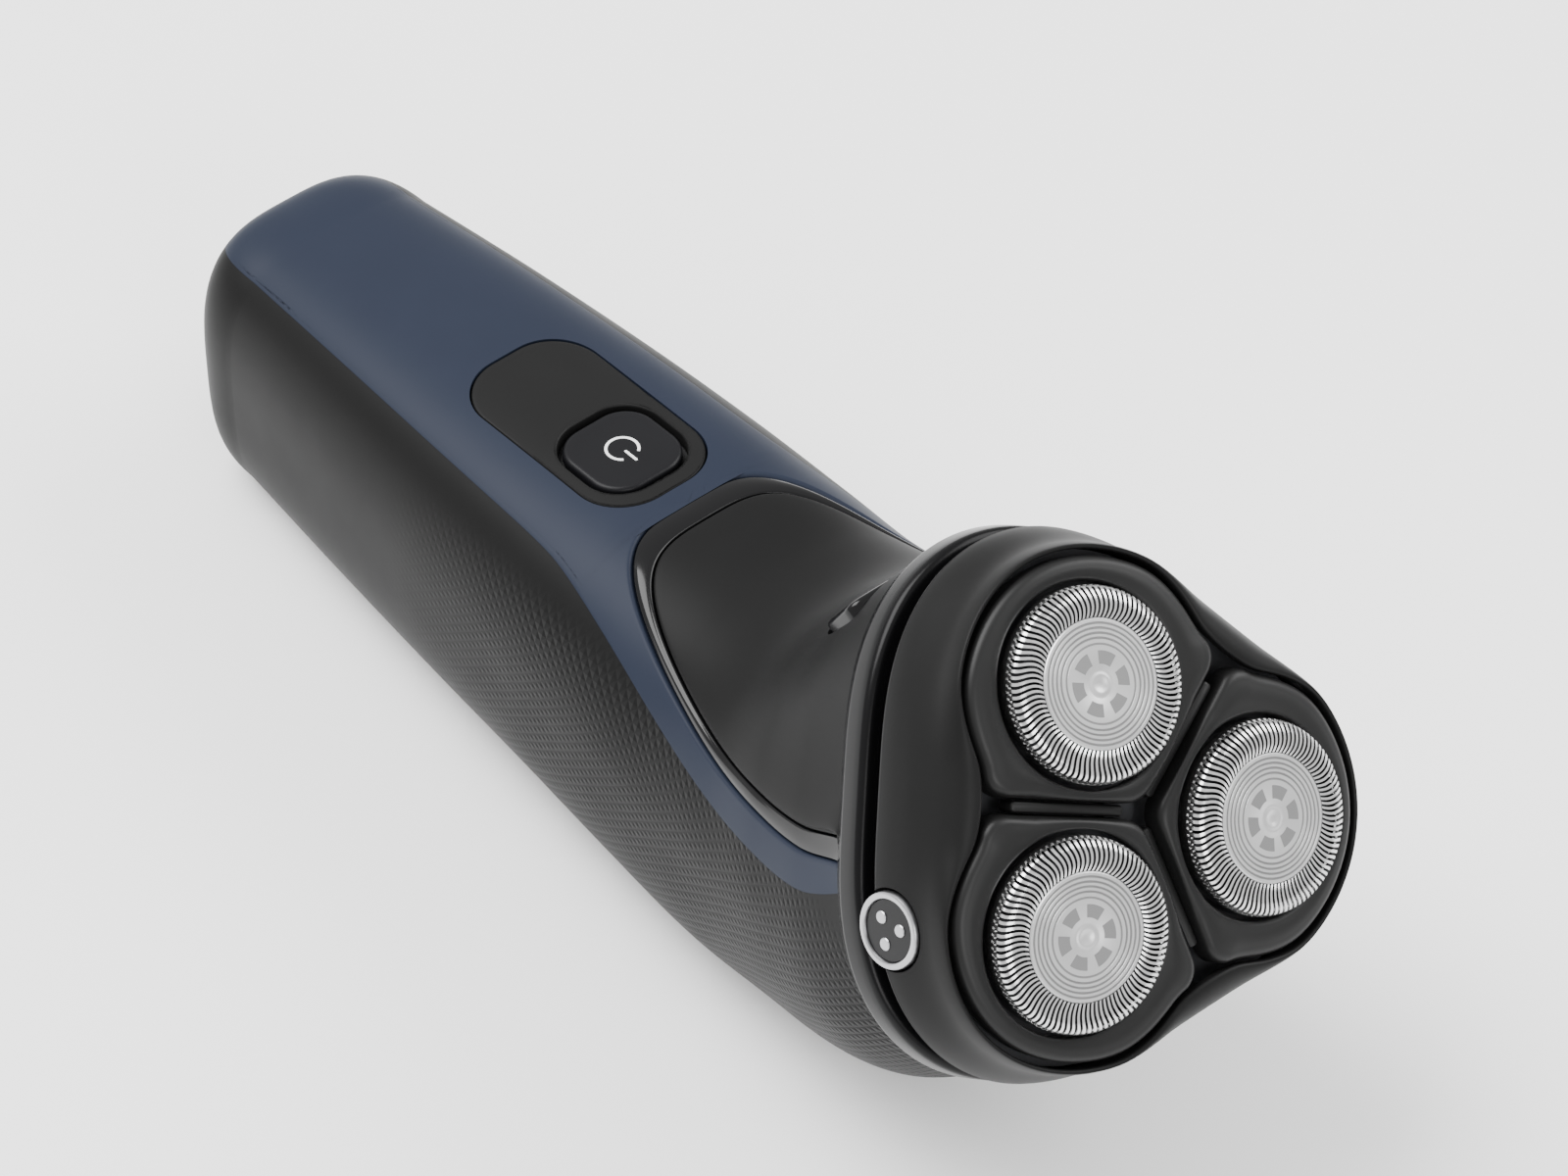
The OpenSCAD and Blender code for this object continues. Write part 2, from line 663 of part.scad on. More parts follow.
module retaining_frame() {
    color("#7d8aa0") in_head() difference() {
        translate([0, 0, -8.9]) linear_extrude(1.2) tri_outline(1.8);
        at_angles(cap_pitch_r) translate([0, 0, -10]) cylinder(r = 6, h = 4, $fn = 64);
        translate([0, 0, -10]) cylinder(r = 2.1, h = 4, $fn = 40);
    }
}

module frame_lock() {
    color("#7d8aa0") in_head() {
        translate([0, 0, -9.1]) cylinder(r = 2, h = 2.6, $fn = 40);
        translate([0, 0, -10.1]) cylinder(r = 3.4, h = 1, $fn = 48);
    }
}

// ---- Trimmer in the back ----

module at_trimmer() {
    translate([0, body_y + trimmer_y, trimmer_up]) children();
}

module trimmer_opening() {
    at_trimmer() translate([0, 0, -5]) linear_extrude(12) slab(trimmer_w, trimmer_len, 4);
}

// The lid's outside follows the section of the back at the lid's middle
function lid_edge(phi) = let (p = skin(lid_station, phi, 0))
    [p.x, max(floor_z - p.y * sin(lay_angle) + p.z * cos(lay_angle) - trimmer_up, 0)];

module lid_profile() {
    side = lid_edge(315).x;
    polygon(concat([for (phi = [225:5:315]) lid_edge(phi)], [[side, 20], [-side, 20]]));
}

module trimmer_housing() {
    color(black) at_trimmer() difference() {
        union() {
            intersection() {
                translate([0, trimmer_len / 2, 0]) rotate([90, 0, 0]) linear_extrude(trimmer_len)
                    lid_profile();
                translate([0, 0.7, 0]) linear_extrude(lid_top)
                    slab(trimmer_w - 0.8, trimmer_len - 2.2, 3.6);
            }
            for (x = [-9, 4.4]) translate([x, pin_y - 2.4, 1.2]) cube([4.6, 4.8, 4.6]);
        }
        translate([-20, pin_y, pin_z]) rotate([0, 90, 0]) cylinder(r = 0.86, h = 40, $fn = 32);
        translate([-4.1, -trimmer_len / 2, -1]) cube([8.2, 9.2, 8]);
        translate([0, 8, -1]) linear_extrude(6) slab(8.8, 12.8, 1.5);
    }
}

module trimmer_pin() {
    color(silver) at_trimmer() translate([-9.2, pin_y, pin_z]) rotate([0, 90, 0])
        cylinder(r = 0.8, h = 18.4, $fn = 32);
}

// A row of teeth along X
module tooth_row(count, pitch, width, length) {
    for (i = [0:count - 1]) translate([(i - (count - 1) / 2) * pitch - width / 2, 0, 0])
        cube([width, length, 0.7]);
}

module trimmer_comb() {
    color(silver) at_trimmer() translate([0, 17.2, lid_top]) {
        translate([-10, -1.8, 0]) cube([20, 3.6, 0.7]);
        translate([0, 1.7, 0]) tooth_row(14, 1.4, 0.7, 2.6);
    }
}

module trimmer_blade() {
    color(steel) at_trimmer() translate([0, 17.2, lid_top + 0.72]) {
        translate([-9.2, -1.8, 0]) cube([18.4, 3.2, 0.7]);
        translate([0, 1.3, 0]) tooth_row(13, 1.4, 0.6, 2.6);
    }
}

// The slider's knob shows through the lid and its plate runs on the lid's inside
module trimmer_slider() {
    color(gloss) at_trimmer() translate([0, 6.4, 0]) {
        translate([0, 0, 0.1]) linear_extrude(lid_top + 0.1) slab(8.2, 9, 1.2);
        translate([-5.4, -5.4, lid_top + 0.1]) cube([10.8, 10.8, 0.8]);
    }
}

// Frame of the release button: on the neck's flare, +Z out of the surface
module at_release() {
    translate([0, 42.4, 4.7]) rotate([-54.5, 0, 0]) children();
}

rear_housing();
front_cover();
button_panel();
button_seal();
power_button();
neck_bezel();
neck_cover();
end_cap();
charging_socket();
charging_pins();
inner_frame();
battery();
battery_tabs();
circuit_board();
board_parts();
tact_switch();
motor();
motor_screws();
motor_shaft();
drive_pinion();
gear_plate();
gear_posts();
drive_gear(cap_angles[0]);  // drive_gear_top
drive_gear(cap_angles[1]);  // drive_gear_left
drive_gear(cap_angles[2]);  // drive_gear_right
collar();
collar_seal();
housing_screws();
release_button();
release_spring();
pivot_pins();
pivot_badges();
hair_chamber();
spindle(cap_angles[0]);  // spindle_top
spindle(cap_angles[1]);  // spindle_left
spindle(cap_angles[2]);  // spindle_right
spindle_seals();
hinge_pin();
head_shell();
groove_bars();
retaining_frame();
frame_lock();
holder(cap_angles[0]);  // holder_top
holder(cap_angles[1]);  // holder_left
holder(cap_angles[2]);  // holder_right
cap(cap_angles[0]);  // cap_top
cap(cap_angles[1]);  // cap_left
cap(cap_angles[2]);  // cap_right
disc(cap_angles[0]);  // disc_top
disc(cap_angles[1]);  // disc_left
disc(cap_angles[2]);  // disc_right
cutter(cap_angles[0]);  // cutter_top
cutter(cap_angles[1]);  // cutter_left
cutter(cap_angles[2]);  // cutter_right
trimmer_housing();
trimmer_comb();
trimmer_blade();
trimmer_slider();
trimmer_pin();
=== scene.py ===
"""Looks for a cordless rotary shaver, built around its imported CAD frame.

Lengths are in millimetres until make() turns them into metres. The body's own frame has +Y towards
the tail and +Z towards the front; the head's frame has +Z (w) out of the cutters and +Y (u) towards
the head's top. to_world() and head_to_world() lay them on the table.
"""
import json
import math

import bmesh
import bpy
import numpy as np
from mathutils import Matrix, Vector

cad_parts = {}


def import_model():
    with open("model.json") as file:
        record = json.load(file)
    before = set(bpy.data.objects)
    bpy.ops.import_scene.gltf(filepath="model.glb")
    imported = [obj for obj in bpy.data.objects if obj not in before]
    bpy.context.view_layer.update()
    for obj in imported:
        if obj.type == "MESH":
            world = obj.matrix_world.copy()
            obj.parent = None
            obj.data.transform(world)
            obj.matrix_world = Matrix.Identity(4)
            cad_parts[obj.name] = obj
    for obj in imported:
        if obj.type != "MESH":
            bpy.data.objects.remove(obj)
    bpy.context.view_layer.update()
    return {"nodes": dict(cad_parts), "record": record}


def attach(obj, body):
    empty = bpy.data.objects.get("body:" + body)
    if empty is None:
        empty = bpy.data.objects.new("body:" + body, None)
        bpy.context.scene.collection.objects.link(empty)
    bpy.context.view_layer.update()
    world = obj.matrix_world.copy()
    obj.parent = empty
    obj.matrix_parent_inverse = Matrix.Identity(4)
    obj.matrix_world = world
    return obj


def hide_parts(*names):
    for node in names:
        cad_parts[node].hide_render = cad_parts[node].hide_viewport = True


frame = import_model()
NODES = frame["nodes"]
MM = 0.001

# ---------------------------------------------------------------- the shape's driving values
LAY = math.radians(6)
TILT = math.radians(33.5)
BODY_Y, FLOOR_Z = -69.485, 59.6
WALL = 2.0
TAIL_LEN = 9.5
CAP_PITCH_R, CAP_R, DISC_R, CAP_LEAN = 15.6, 10.75, 7.1, 5.7
SHELL_R, SHELL_LOBE = 28.6, 2.9
SHELL_BACK, COLLAR_FRONT, COLLAR_BACK = -14.0, -17.0, -22.0
PIVOT_X = 27.2
PANEL_Y, PANEL_LEN, PANEL_W, PANEL_ROUND = 96.0, 30.4, 16.8, 6.5
BUTTON_Y, BUTTON_HALF, BUTTON_GAP, BUTTON_ROUND = 89.8, 6.1, 0.9, 4.2
FRONT_Z = -8.1
RELEASE_W, RELEASE_LEN = 17.0, 8.0
RELEASE_Y, RELEASE_Z, RELEASE_TURN = 42.4, 4.7, math.radians(54.5)
SCREWS = [(x, y) for x in (-10.5, 10.5) for y in (60, 120)]
TRIMMER_BAY_Y = 84
GRIP_FROM, GRIP_FADE = 112, 34
HINGE_SLOT_W, HINGE_SLOT_LEN, HINGE_SLOT_U = 19, 11.4, -28.3
CAPS = {"top": 90, "left": 210, "right": 330}

# front y, front z, back y, back z, half width, front and back squareness
STATIONS = np.array([
    [144, -8.9, 144, -45.4, 16.4, 3.3, 3.3],
    [125, -8.1, 125, -47.2, 18.3, 3.3, 3.2],
    [105, -7.8, 105, -49.1, 20.0, 3.3, 3.1],
    [88, -7.8, 87, -51.0, 21.2, 3.2, 3.0],
    [74, -8.0, 70, -53.0, 22.4, 2.9, 2.9],
    [62, -8.0, 53, -54.8, 23.6, 2.6, 2.7],
    [52, -5.5, 37, -52.8, 25.2, 2.4, 2.5],
    [45, 1.0, 24, -48.6, 27.2, 2.3, 2.4],
    [40, 8.0, 13, -42.0, 28.6, 2.2, 2.3],
    [35.6, 13.9, 4.3, -33.3, 28.4, 2.2, 2.2]])
LAST = len(STATIONS) - 1
ARCH, COVER_ARCH, FLANK, BLEND_FROM = 3.68, 3.95, 3.3, 5.5
ARCH_WIDTH, ARCH_POWER = 38, 0.42
SEAM_START, SEAM_SWEEP = 38, 46
COVER_WIDTH, COVER_POWER = 37, 0.4


def to_world(p):
    """Body frame to the table's frame, in millimetres."""
    p = np.asarray(p, float)
    c, s = math.cos(LAY), math.sin(LAY)
    return np.stack([p[..., 0], BODY_Y + p[..., 1] * c + p[..., 2] * s,
                     FLOOR_Z - p[..., 1] * s + p[..., 2] * c], -1)


def head_to_world(p):
    """Head's frame to the table's frame."""
    p = np.asarray(p, float)
    c, s = math.cos(TILT), math.sin(TILT)
    x, u, w = p[..., 0], p[..., 1], p[..., 2]
    return to_world(np.stack([x, u * s - w * c, u * c + w * s], -1))


def cap_to_world(p, angle):
    """Frame of one cap: origin at its centre, +X outward from the head's centre."""
    p = np.asarray(p, float)
    a, lean = math.radians(angle), math.radians(CAP_LEAN)
    x = p[..., 0] * math.cos(lean) + p[..., 2] * math.sin(lean) + CAP_PITCH_R
    w = -p[..., 0] * math.sin(lean) + p[..., 2] * math.cos(lean)
    y = p[..., 1]
    return head_to_world(np.stack([x * math.cos(a) - y * math.sin(a),
                                   x * math.sin(a) + y * math.cos(a), w], -1))


# ---------------------------------------------------------------- the body's surface
def smooth(t):
    t = np.clip(t, 0, 1)
    return t * t * (3 - 2 * t)


def station(s):
    """Values of the cross-section at each station number in s, by Catmull-Rom."""
    s = np.asarray(s, float)
    i = np.clip(np.floor(s).astype(int), 0, LAST - 1)
    t = (s - i)[..., None]
    a, b = STATIONS[np.maximum(i - 1, 0)], STATIONS[i]
    c, d = STATIONS[i + 1], STATIONS[np.minimum(i + 2, LAST)]
    along = 0.5 * (2 * b + (c - a) * t + (2 * a - 5 * b + 4 * c - d) * t ** 2
                   + (3 * b - a - 3 * c + d) * t ** 3)
    u = np.clip(-s, 0, 1)[..., None]
    k = 1 - (1 - u ** 2.6) ** (1 / 2.6)
    shrink = np.array([0, -3, 0, 6.5, -7.5, 0, 0])
    move = np.array([TAIL_LEN, 0, TAIL_LEN, 0, 0, 0, 0])
    return np.where(s[..., None] < 0, STATIONS[0] + move * u + shrink * k, along)


def signed_pow(v, e):
    return np.sign(v) * np.abs(v) ** e


def lobe(phi):
    """Radius of the head's rounded triangle, over its mean radius."""
    return (SHELL_R + SHELL_LOBE * np.cos(3 * (phi - math.pi / 2))) / SHELL_R


def skin(s, phi_deg, inset=0.0):
    """Point of the body's surface at station s and angle phi (90 is the front), sunk by inset."""
    s, phi_deg = np.broadcast_arrays(np.asarray(s, float), np.asarray(phi_deg, float))
    phi = np.radians(phi_deg)
    q = station(s)
    zero = np.zeros_like(s)
    front = np.stack([zero, q[..., 0], q[..., 1]], -1)
    back = np.stack([zero, q[..., 2], q[..., 3]], -1)
    span = np.linalg.norm(front - back, axis=-1)
    up = (front - back) / span[..., None]
    e = 2 / np.where(np.sin(phi) > 0, q[..., 5], q[..., 6])
    t = smooth((s - BLEND_FROM) / (LAST - BLEND_FROM))
    x = (1 - t) * signed_pow(np.cos(phi), e) + t * lobe(phi) * np.cos(phi)
    h = (1 - t) * signed_pow(np.sin(phi), e) + t * (lobe(phi) * np.sin(phi) - SHELL_LOBE / SHELL_R)
    p = (front + back) / 2 + up * ((span / 2 - inset) * h)[..., None]
    p[..., 0] += (q[..., 4] - inset) * x
    return p


def flank_seam(s):
    """Angle between the front's middle and the seam of the blue cover, at station s."""
    t = (np.asarray(s, float) - FLANK) / (LAST - FLANK)
    t = np.clip((t + np.sqrt(t * t + 0.0016)) / 2, 0, 1)
    return SEAM_START + SEAM_SWEEP * (1 - (1 - t) ** 1.5)


# ---------------------------------------------------------------- mesh building
def make(name, points, faces, body, slot, material, replaces=(), sharp=38):
    """One closed piece from points in the table's frame (mm)."""
    mesh = bpy.data.meshes.new(name)
    mesh.from_pydata((np.asarray(points) * MM).tolist(), [], faces)
    mesh.validate()
    clean(mesh)
    mesh.polygons.foreach_set("use_smooth", [True] * len(mesh.polygons))
    mesh.set_sharp_from_angle(angle=math.radians(sharp))
    obj = bpy.data.objects.new(name, mesh)
    bpy.context.scene.collection.objects.link(obj)
    mesh.materials.append(material)
    if body:
        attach(obj, body)
    if replaces:
        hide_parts(*replaces)
    return obj


def clean(mesh):
    bm = bmesh.new()
    bm.from_mesh(mesh)
    bmesh.ops.remove_doubles(bm, verts=bm.verts, dist=2e-6)
    bmesh.ops.recalc_face_normals(bm, faces=bm.faces)
    bm.to_mesh(mesh)
    bm.free()


def loops(rings, wrap_rows=False, wrap_cols=True, start=0):
    """Quads between rows of points; rings is (rows, columns, 3)."""
    n, m = rings.shape[:2]
    out = []
    for i in range(n if wrap_rows else n - 1):
        k = (i + 1) % n
        for j in range(m if wrap_cols else m - 1):
            l = (j + 1) % m
            out.append([start + i * m + j, start + i * m + l, start + k * m + l, start + k * m + j])
    return out


def swept(name, rings, body, slot, material, cap_ends=False, wrap_rows=False, **more):
    """A piece from closed rings; cap_ends fills the first and last ring."""
    rings = np.asarray(rings)
    n, m = rings.shape[:2]
    faces = loops(rings, wrap_rows=wrap_rows)
    if cap_ends:
        faces += [list(range(m))[::-1], [(n - 1) * m + j for j in range(m)]]
    return make(name, rings.reshape(-1, 3), faces, body, slot, material, **more)


def cut(obj, cutters):
    """Takes the cutters out of the piece and removes them."""
    for c in cutters:
        mod = obj.modifiers.new("cut", "BOOLEAN")
        mod.operation, mod.solver, mod.object = "DIFFERENCE", "EXACT", c
    graph = bpy.context.evaluated_depsgraph_get()
    mesh = bpy.data.meshes.new_from_object(obj.evaluated_get(graph))
    obj.modifiers.clear()
    obj.data = mesh
    for c in cutters:
        bpy.data.objects.remove(c)
    mesh.polygons.foreach_set("use_smooth", [True] * len(mesh.polygons))
    mesh.set_sharp_from_angle(angle=math.radians(38))


def prism(outline, low, high, place):
    """A closed cutter from a 2D outline, between two heights of the frame that place() maps."""
    m = len(outline)
    rings = [place(np.column_stack([outline, np.full(m, h)])) for h in (low, high)]
    mesh = bpy.data.meshes.new("cutter")
    faces = loops(np.asarray(rings)) + [list(range(m))[::-1], [m + j for j in range(m)]]
    mesh.from_pydata((np.concatenate(rings) * MM).tolist(), [], faces)
    clean(mesh)
    obj = bpy.data.objects.new("cutter", mesh)
    bpy.context.scene.collection.objects.link(obj)
    return obj


def rounded(w, l, r, n=16):
    """Outline of a rounded rectangle, n points to a corner."""
    r = min(r, w / 2 - 1e-3, l / 2 - 1e-3)
    pts = []
    for cx, cy, a0 in ((1, 1, 0), (-1, 1, 90), (-1, -1, 180), (1, -1, 270)):
        for a in np.radians(a0 + np.linspace(0, 90, n)):
            pts.append([cx * (w / 2 - r) + r * math.cos(a), cy * (l / 2 - r) + r * math.sin(a)])
    return np.array(pts)


def circle(r, n=96):
    a = np.linspace(0, 2 * math.pi, n, endpoint=False)
    return np.column_stack([r * np.cos(a), r * np.sin(a)])


def shrink_to(outline, centre, amount):
    """Moves an outline inward by amount, along its own normals."""
    nxt, prv = np.roll(outline, -1, 0), np.roll(outline, 1, 0)
    t = nxt - prv
    t /= np.linalg.norm(t, axis=1)[:, None]
    n = np.column_stack([t[:, 1], -t[:, 0]])
    outward = np.sign(np.sum(n * (outline - centre), 1))[:, None]
    return outline - n * outward * amount


def edge_steps(r, n=5):
    """(sideways, down) steps of a quarter-round edge, from the wall to the top."""
    a = np.linspace(0, math.pi / 2, n)
    return [(r * (1 - math.sin(t)), r * (1 - math.cos(t))) for t in a]


# ---------------------------------------------------------------- pieces that follow the surface
def across(curve, toward, distance):
    """Moves parameter points (station, angle) over the surface by distance, square to their curve."""
    eps = 1e-3
    s, p = curve[:, 0], curve[:, 1]
    ds = (skin(s + eps, p) - skin(s - eps, p)) / (2 * eps)
    dp = (skin(s, p + eps) - skin(s, p - eps)) / (2 * eps)
    step = np.gradient(curve, axis=0)
    tangent = ds * step[:, :1] + dp * step[:, 1:]
    normal = np.cross(ds, dp)
    side = np.cross(normal, tangent)
    side /= np.linalg.norm(side, axis=1)[:, None]
    to = skin(toward[:, 0], toward[:, 1]) - skin(s, p)
    side *= np.where(np.sum(side * to, 1) < 0, -1, 1)[:, None]
    out = np.empty_like(curve)
    for i in range(len(curve)):
        j = np.column_stack([ds[i], dp[i]])
        out[i] = np.linalg.lstsq(j, side[i], rcond=None)[0]
    return curve + out * distance


ROUND = 0.45


def surface_patch(a, b, cols, gap_a, gap_b, lift=0.0, bulge=0.0, round_a=ROUND, round_b=ROUND, closed=0):
    """Outer and inner grids between parameter curves a and b; edges with a gap are rounded.

    The first rows, as many as closed, have no edge at b, because they meet their mirror image there.
    """
    bands = []
    for gap, r, own, other, skip in ((gap_a, round_a, a, b, 0), (gap_b, round_b, b, a, closed)):
        rings = []
        if gap is not None:
            for k in np.linspace(0, 1, 6):
                d = r * (1 - math.cos(k * math.pi / 2))
                sink = np.full(len(own), r * (1 - math.sin(k * math.pi / 2)))
                sink[:skip] = 0
                moved = np.concatenate([own[:skip], across(own[skip:], other[skip:], gap + d)])
                rings.append((moved, sink))
        else:
            rings.append((own.copy(), 0.0))
        bands.append(rings)
    start, end = bands[0][-1][0], bands[1][-1][0]
    middle = [((1 - t) * start + t * end, -bulge * math.sin(math.pi * t) ** 0.8)
              for t in np.linspace(0, 1, cols + 2)[1:-1]]
    rows = bands[0] + middle + bands[1][::-1]
    outer = np.stack([skin(np.clip(c[:, 0], -0.999, LAST), c[:, 1], lift + sink) for c, sink in rows], 1)
    inner = np.stack([skin(np.clip(c[:, 0], -0.999, LAST), c[:, 1], WALL) for c, _ in rows], 1)
    return outer, inner


def shell_piece(name, patches, body, slot, material, open_a=None, **more):
    """A closed shell from (outer, inner) grids. open_a: rows whose last column meets its mirror."""
    points, faces = [], []
    for outer, inner in patches:
        n, m = outer.shape[:2]
        base = sum(len(p) for p in points)
        points += [outer.reshape(-1, 3), inner.reshape(-1, 3)]
        faces += loops(outer, wrap_cols=False, start=base)
        faces += loops(inner, wrap_cols=False, start=base + n * m)
        o, i = base, base + n * m
        for r in range(n - 1):
            faces.append([o + r * m, o + (r + 1) * m, i + (r + 1) * m, i + r * m])
            if open_a is None or r >= open_a:
                faces.append([o + r * m + m - 1, o + (r + 1) * m + m - 1,
                              i + (r + 1) * m + m - 1, i + r * m + m - 1])
        for r in (0, n - 1):
            for c in range(m - 1):
                faces.append([o + r * m + c, o + r * m + c + 1, i + r * m + c + 1, i + r * m + c])
    return make(name, to_world(np.concatenate(points)), faces, body, slot, material, **more)


def mirrored(patch):
    return tuple(g * np.array([-1, 1, 1]) for g in patch)


# ---------------------------------------------------------------- materials
def new_material(name):
    m = bpy.data.materials.new(name)
    m.use_nodes = True
    nt = m.node_tree
    bsdf = nt.nodes["Principled BSDF"]
    return m, nt, bsdf


def link(nt, a, out, b, socket):
    nt.links.new(a.outputs[out], b.inputs[socket])


def srgb(*v):
    return tuple((c / 255 / 12.92) if c <= 10 else ((c / 255 + 0.055) / 1.055) ** 2.4 for c in v) + (1,)


def noise(nt, scale, detail=2.0, rough=0.5):
    coord = nt.nodes.new("ShaderNodeTexCoord")
    n = nt.nodes.new("ShaderNodeTexNoise")
    n.inputs["Scale"].default_value = scale
    n.inputs["Detail"].default_value = detail
    n.inputs["Roughness"].default_value = rough
    link(nt, coord, "Object", n, "Vector")
    return n


def mapped(nt, source, out, low, high):
    r = nt.nodes.new("ShaderNodeMapRange")
    r.inputs["To Min"].default_value = low
    r.inputs["To Max"].default_value = high
    link(nt, source, out, r, "Value")
    return r


def bump(nt, source, out, distance, after=None):
    b = nt.nodes.new("ShaderNodeBump")
    b.inputs["Distance"].default_value = distance
    link(nt, source, out, b, "Height")
    if after:
        link(nt, after, "Normal", b, "Normal")
    return b


def plastic(name, colour, rough, grain=0.0, grain_scale=9000, vary=0.05, coat=0.0, specular=0.5):
    """Moulded plastic: fine spark-eroded grain, uneven gloss and a faint change of tone."""
    m, nt, bsdf = new_material(name)
    cloud = noise(nt, 90, 4, 0.6)
    gloss = mapped(nt, cloud, "Fac", rough - vary, rough + vary)
    link(nt, gloss, "Result", bsdf, "Roughness")
    tone = nt.nodes.new("ShaderNodeMix")
    tone.data_type = "RGBA"
    tone.inputs[6].default_value = tuple(c * 0.93 for c in colour[:3]) + (1,)
    tone.inputs[7].default_value = tuple(min(c * 1.07, 1) for c in colour[:3]) + (1,)
    link(nt, cloud, "Fac", tone, 0)
    nt.links.new(tone.outputs[2], bsdf.inputs["Base Color"])
    bsdf.inputs["Coat Weight"].default_value = coat
    bsdf.inputs["Coat Roughness"].default_value = 0.08
    bsdf.inputs["Specular IOR Level"].default_value = specular
    if grain:
        fine = noise(nt, grain_scale, 2, 0.6)
        link(nt, bump(nt, fine, "Fac", grain * MM), "Normal", bsdf, "Normal")
    return m


SCRATCH_DEPTH = 0.004


def metal(name, colour, rough, scale=4000):
    m, nt, bsdf = new_material(name)
    bsdf.inputs["Metallic"].default_value = 1.0
    bsdf.inputs["Base Color"].default_value = colour
    fine = noise(nt, scale, 3, 0.6)
    link(nt, mapped(nt, fine, "Fac", rough - 0.07, rough + 0.07), "Result", bsdf, "Roughness")
    link(nt, bump(nt, fine, "Fac", SCRATCH_DEPTH * MM), "Normal", bsdf, "Normal")
    return m


def knurled_black(name, colour, rough, pitch, depth):
    """Grip plastic: a diamond field of shallow scales that fades out towards the tail."""
    m, nt, bsdf = new_material(name)
    uv = nt.nodes.new("ShaderNodeUVMap")
    uv.uv_map = "grip"
    split = nt.nodes.new("ShaderNodeSeparateXYZ")
    link(nt, uv, "UV", split, "Vector")

    def op(kind, a, b=None):
        n = nt.nodes.new("ShaderNodeMath")
        n.operation = kind
        for k, v in enumerate((a, b)):
            if v is None:
                continue
            if isinstance(v, (int, float)):
                n.inputs[k].default_value = v
            else:
                nt.links.new(v, n.inputs[k])
        return n.outputs[0]

    along, around = split.outputs["X"], split.outputs["Y"]
    x, y = (op("MULTIPLY", v, 1 / pitch) for v in (along, around))
    ridges = [op("PINGPONG", op(kind, x, y), 0.5) for kind in ("ADD", "SUBTRACT")]
    height = op("MINIMUM", *ridges)
    fade = nt.nodes.new("ShaderNodeAttribute")
    fade.attribute_name = "grip_depth"
    height = op("MULTIPLY", height, fade.outputs["Fac"])
    b = nt.nodes.new("ShaderNodeBump")
    b.inputs["Distance"].default_value = depth * MM
    nt.links.new(height, b.inputs["Height"])
    fine = noise(nt, 9000, 2, 0.6)
    link(nt, bump(nt, fine, "Fac", 0.006 * MM, after=b), "Normal", bsdf, "Normal")
    cloud = noise(nt, 90, 4, 0.6)
    link(nt, mapped(nt, cloud, "Fac", rough - 0.05, rough + 0.05), "Result", bsdf, "Roughness")
    bsdf.inputs["Base Color"].default_value = colour
    bsdf.inputs["Specular IOR Level"].default_value = 0.08
    return m


MAT = {
    "navy": plastic("navy_satin", srgb(29, 34, 46), 0.45, grain=0.003, specular=0.1),
    "black": plastic("black_satin", srgb(18, 18, 18), 0.46, grain=0.004, specular=0.08),
    "head": plastic("head_satin", srgb(21, 21, 21), 0.40, grain=0.004, specular=0.2),
    "shell": plastic("shell_satin", srgb(18, 18, 18), 0.44, grain=0.004, specular=0.1),
    "panel": plastic("panel_satin", srgb(20, 20, 20), 0.46, grain=0.005, specular=0.1),
    "button": plastic("button_satin", srgb(18, 18, 20), 0.36, grain=0.003, specular=0.12),
    "gloss": plastic("gloss_black", srgb(11, 11, 12), 0.13, vary=0.03, coat=0.05, specular=0.22),
    "collar": plastic("collar_gloss", srgb(10, 10, 11), 0.24, vary=0.04, specular=0.13),
    "badge": plastic("badge_black", srgb(13, 13, 14), 0.3, vary=0.04, specular=0.25),
    "grip": knurled_black("grip_black", srgb(17, 17, 17), 0.46, 1.7, 0.26),
    "white": plastic("printed_white", srgb(226, 226, 226), 0.5),
    "silver": metal("badge_silver", srgb(176, 176, 178), 0.3, scale=2500),
    "cap": metal("cap_steel", srgb(214, 214, 214), 0.22),
    "disc": metal("disc_steel", srgb(196, 196, 196), 0.38),
    # Darker steel: the etched segments' own colour, and also painted shade in the discs' turned grooves
    "disc_dark": metal("disc_etch_and_groove_shade", srgb(128, 128, 128), 0.5),
    "cutter": metal("cutter_steel", srgb(58, 58, 60), 0.5),
}
SLOTS = {
    "body_black": MAT["black"], "cover_navy": MAT["navy"], "panel_black": MAT["panel"],
    "trim_gloss": MAT["gloss"],
    "seal_rubber": plastic("seal_rubber", srgb(26, 26, 27), 0.7, grain=0.01, grain_scale=5000),
    "inner_plastic": plastic("inner_grey", srgb(106, 106, 110), 0.55, grain=0.008),
    "drive_white": plastic("drive_acetal", srgb(228, 224, 212), 0.4, grain=0.003),
    "frame_dark": plastic("frame_dark", srgb(52, 53, 56), 0.5, grain=0.005),
    "motor_can": metal("motor_can", srgb(182, 182, 184), 0.38),
    "steel": metal("steel_plain", srgb(178, 178, 180), 0.33),
    "pin_steel": metal("steel_bright", srgb(196, 196, 198), 0.2),
    "brass": metal("brass_plain", srgb(201, 162, 74), 0.3),
    "cell_wrap": plastic("cell_wrap", srgb(63, 127, 174), 0.25, vary=0.05),
    "board_green": plastic("board_green", srgb(31, 92, 58), 0.35, grain=0.01, grain_scale=3000),
    "chip_black": plastic("chip_black", srgb(38, 38, 42), 0.5, grain=0.01),
}
for part in frame["record"]["subparts"]:
    node = NODES[part["node"]]
    node.data.materials.clear()
    is_cutter = part["node"].startswith("cutter_")
    node.data.materials.append(MAT["cutter"] if is_cutter else SLOTS[part["material_slot"]])

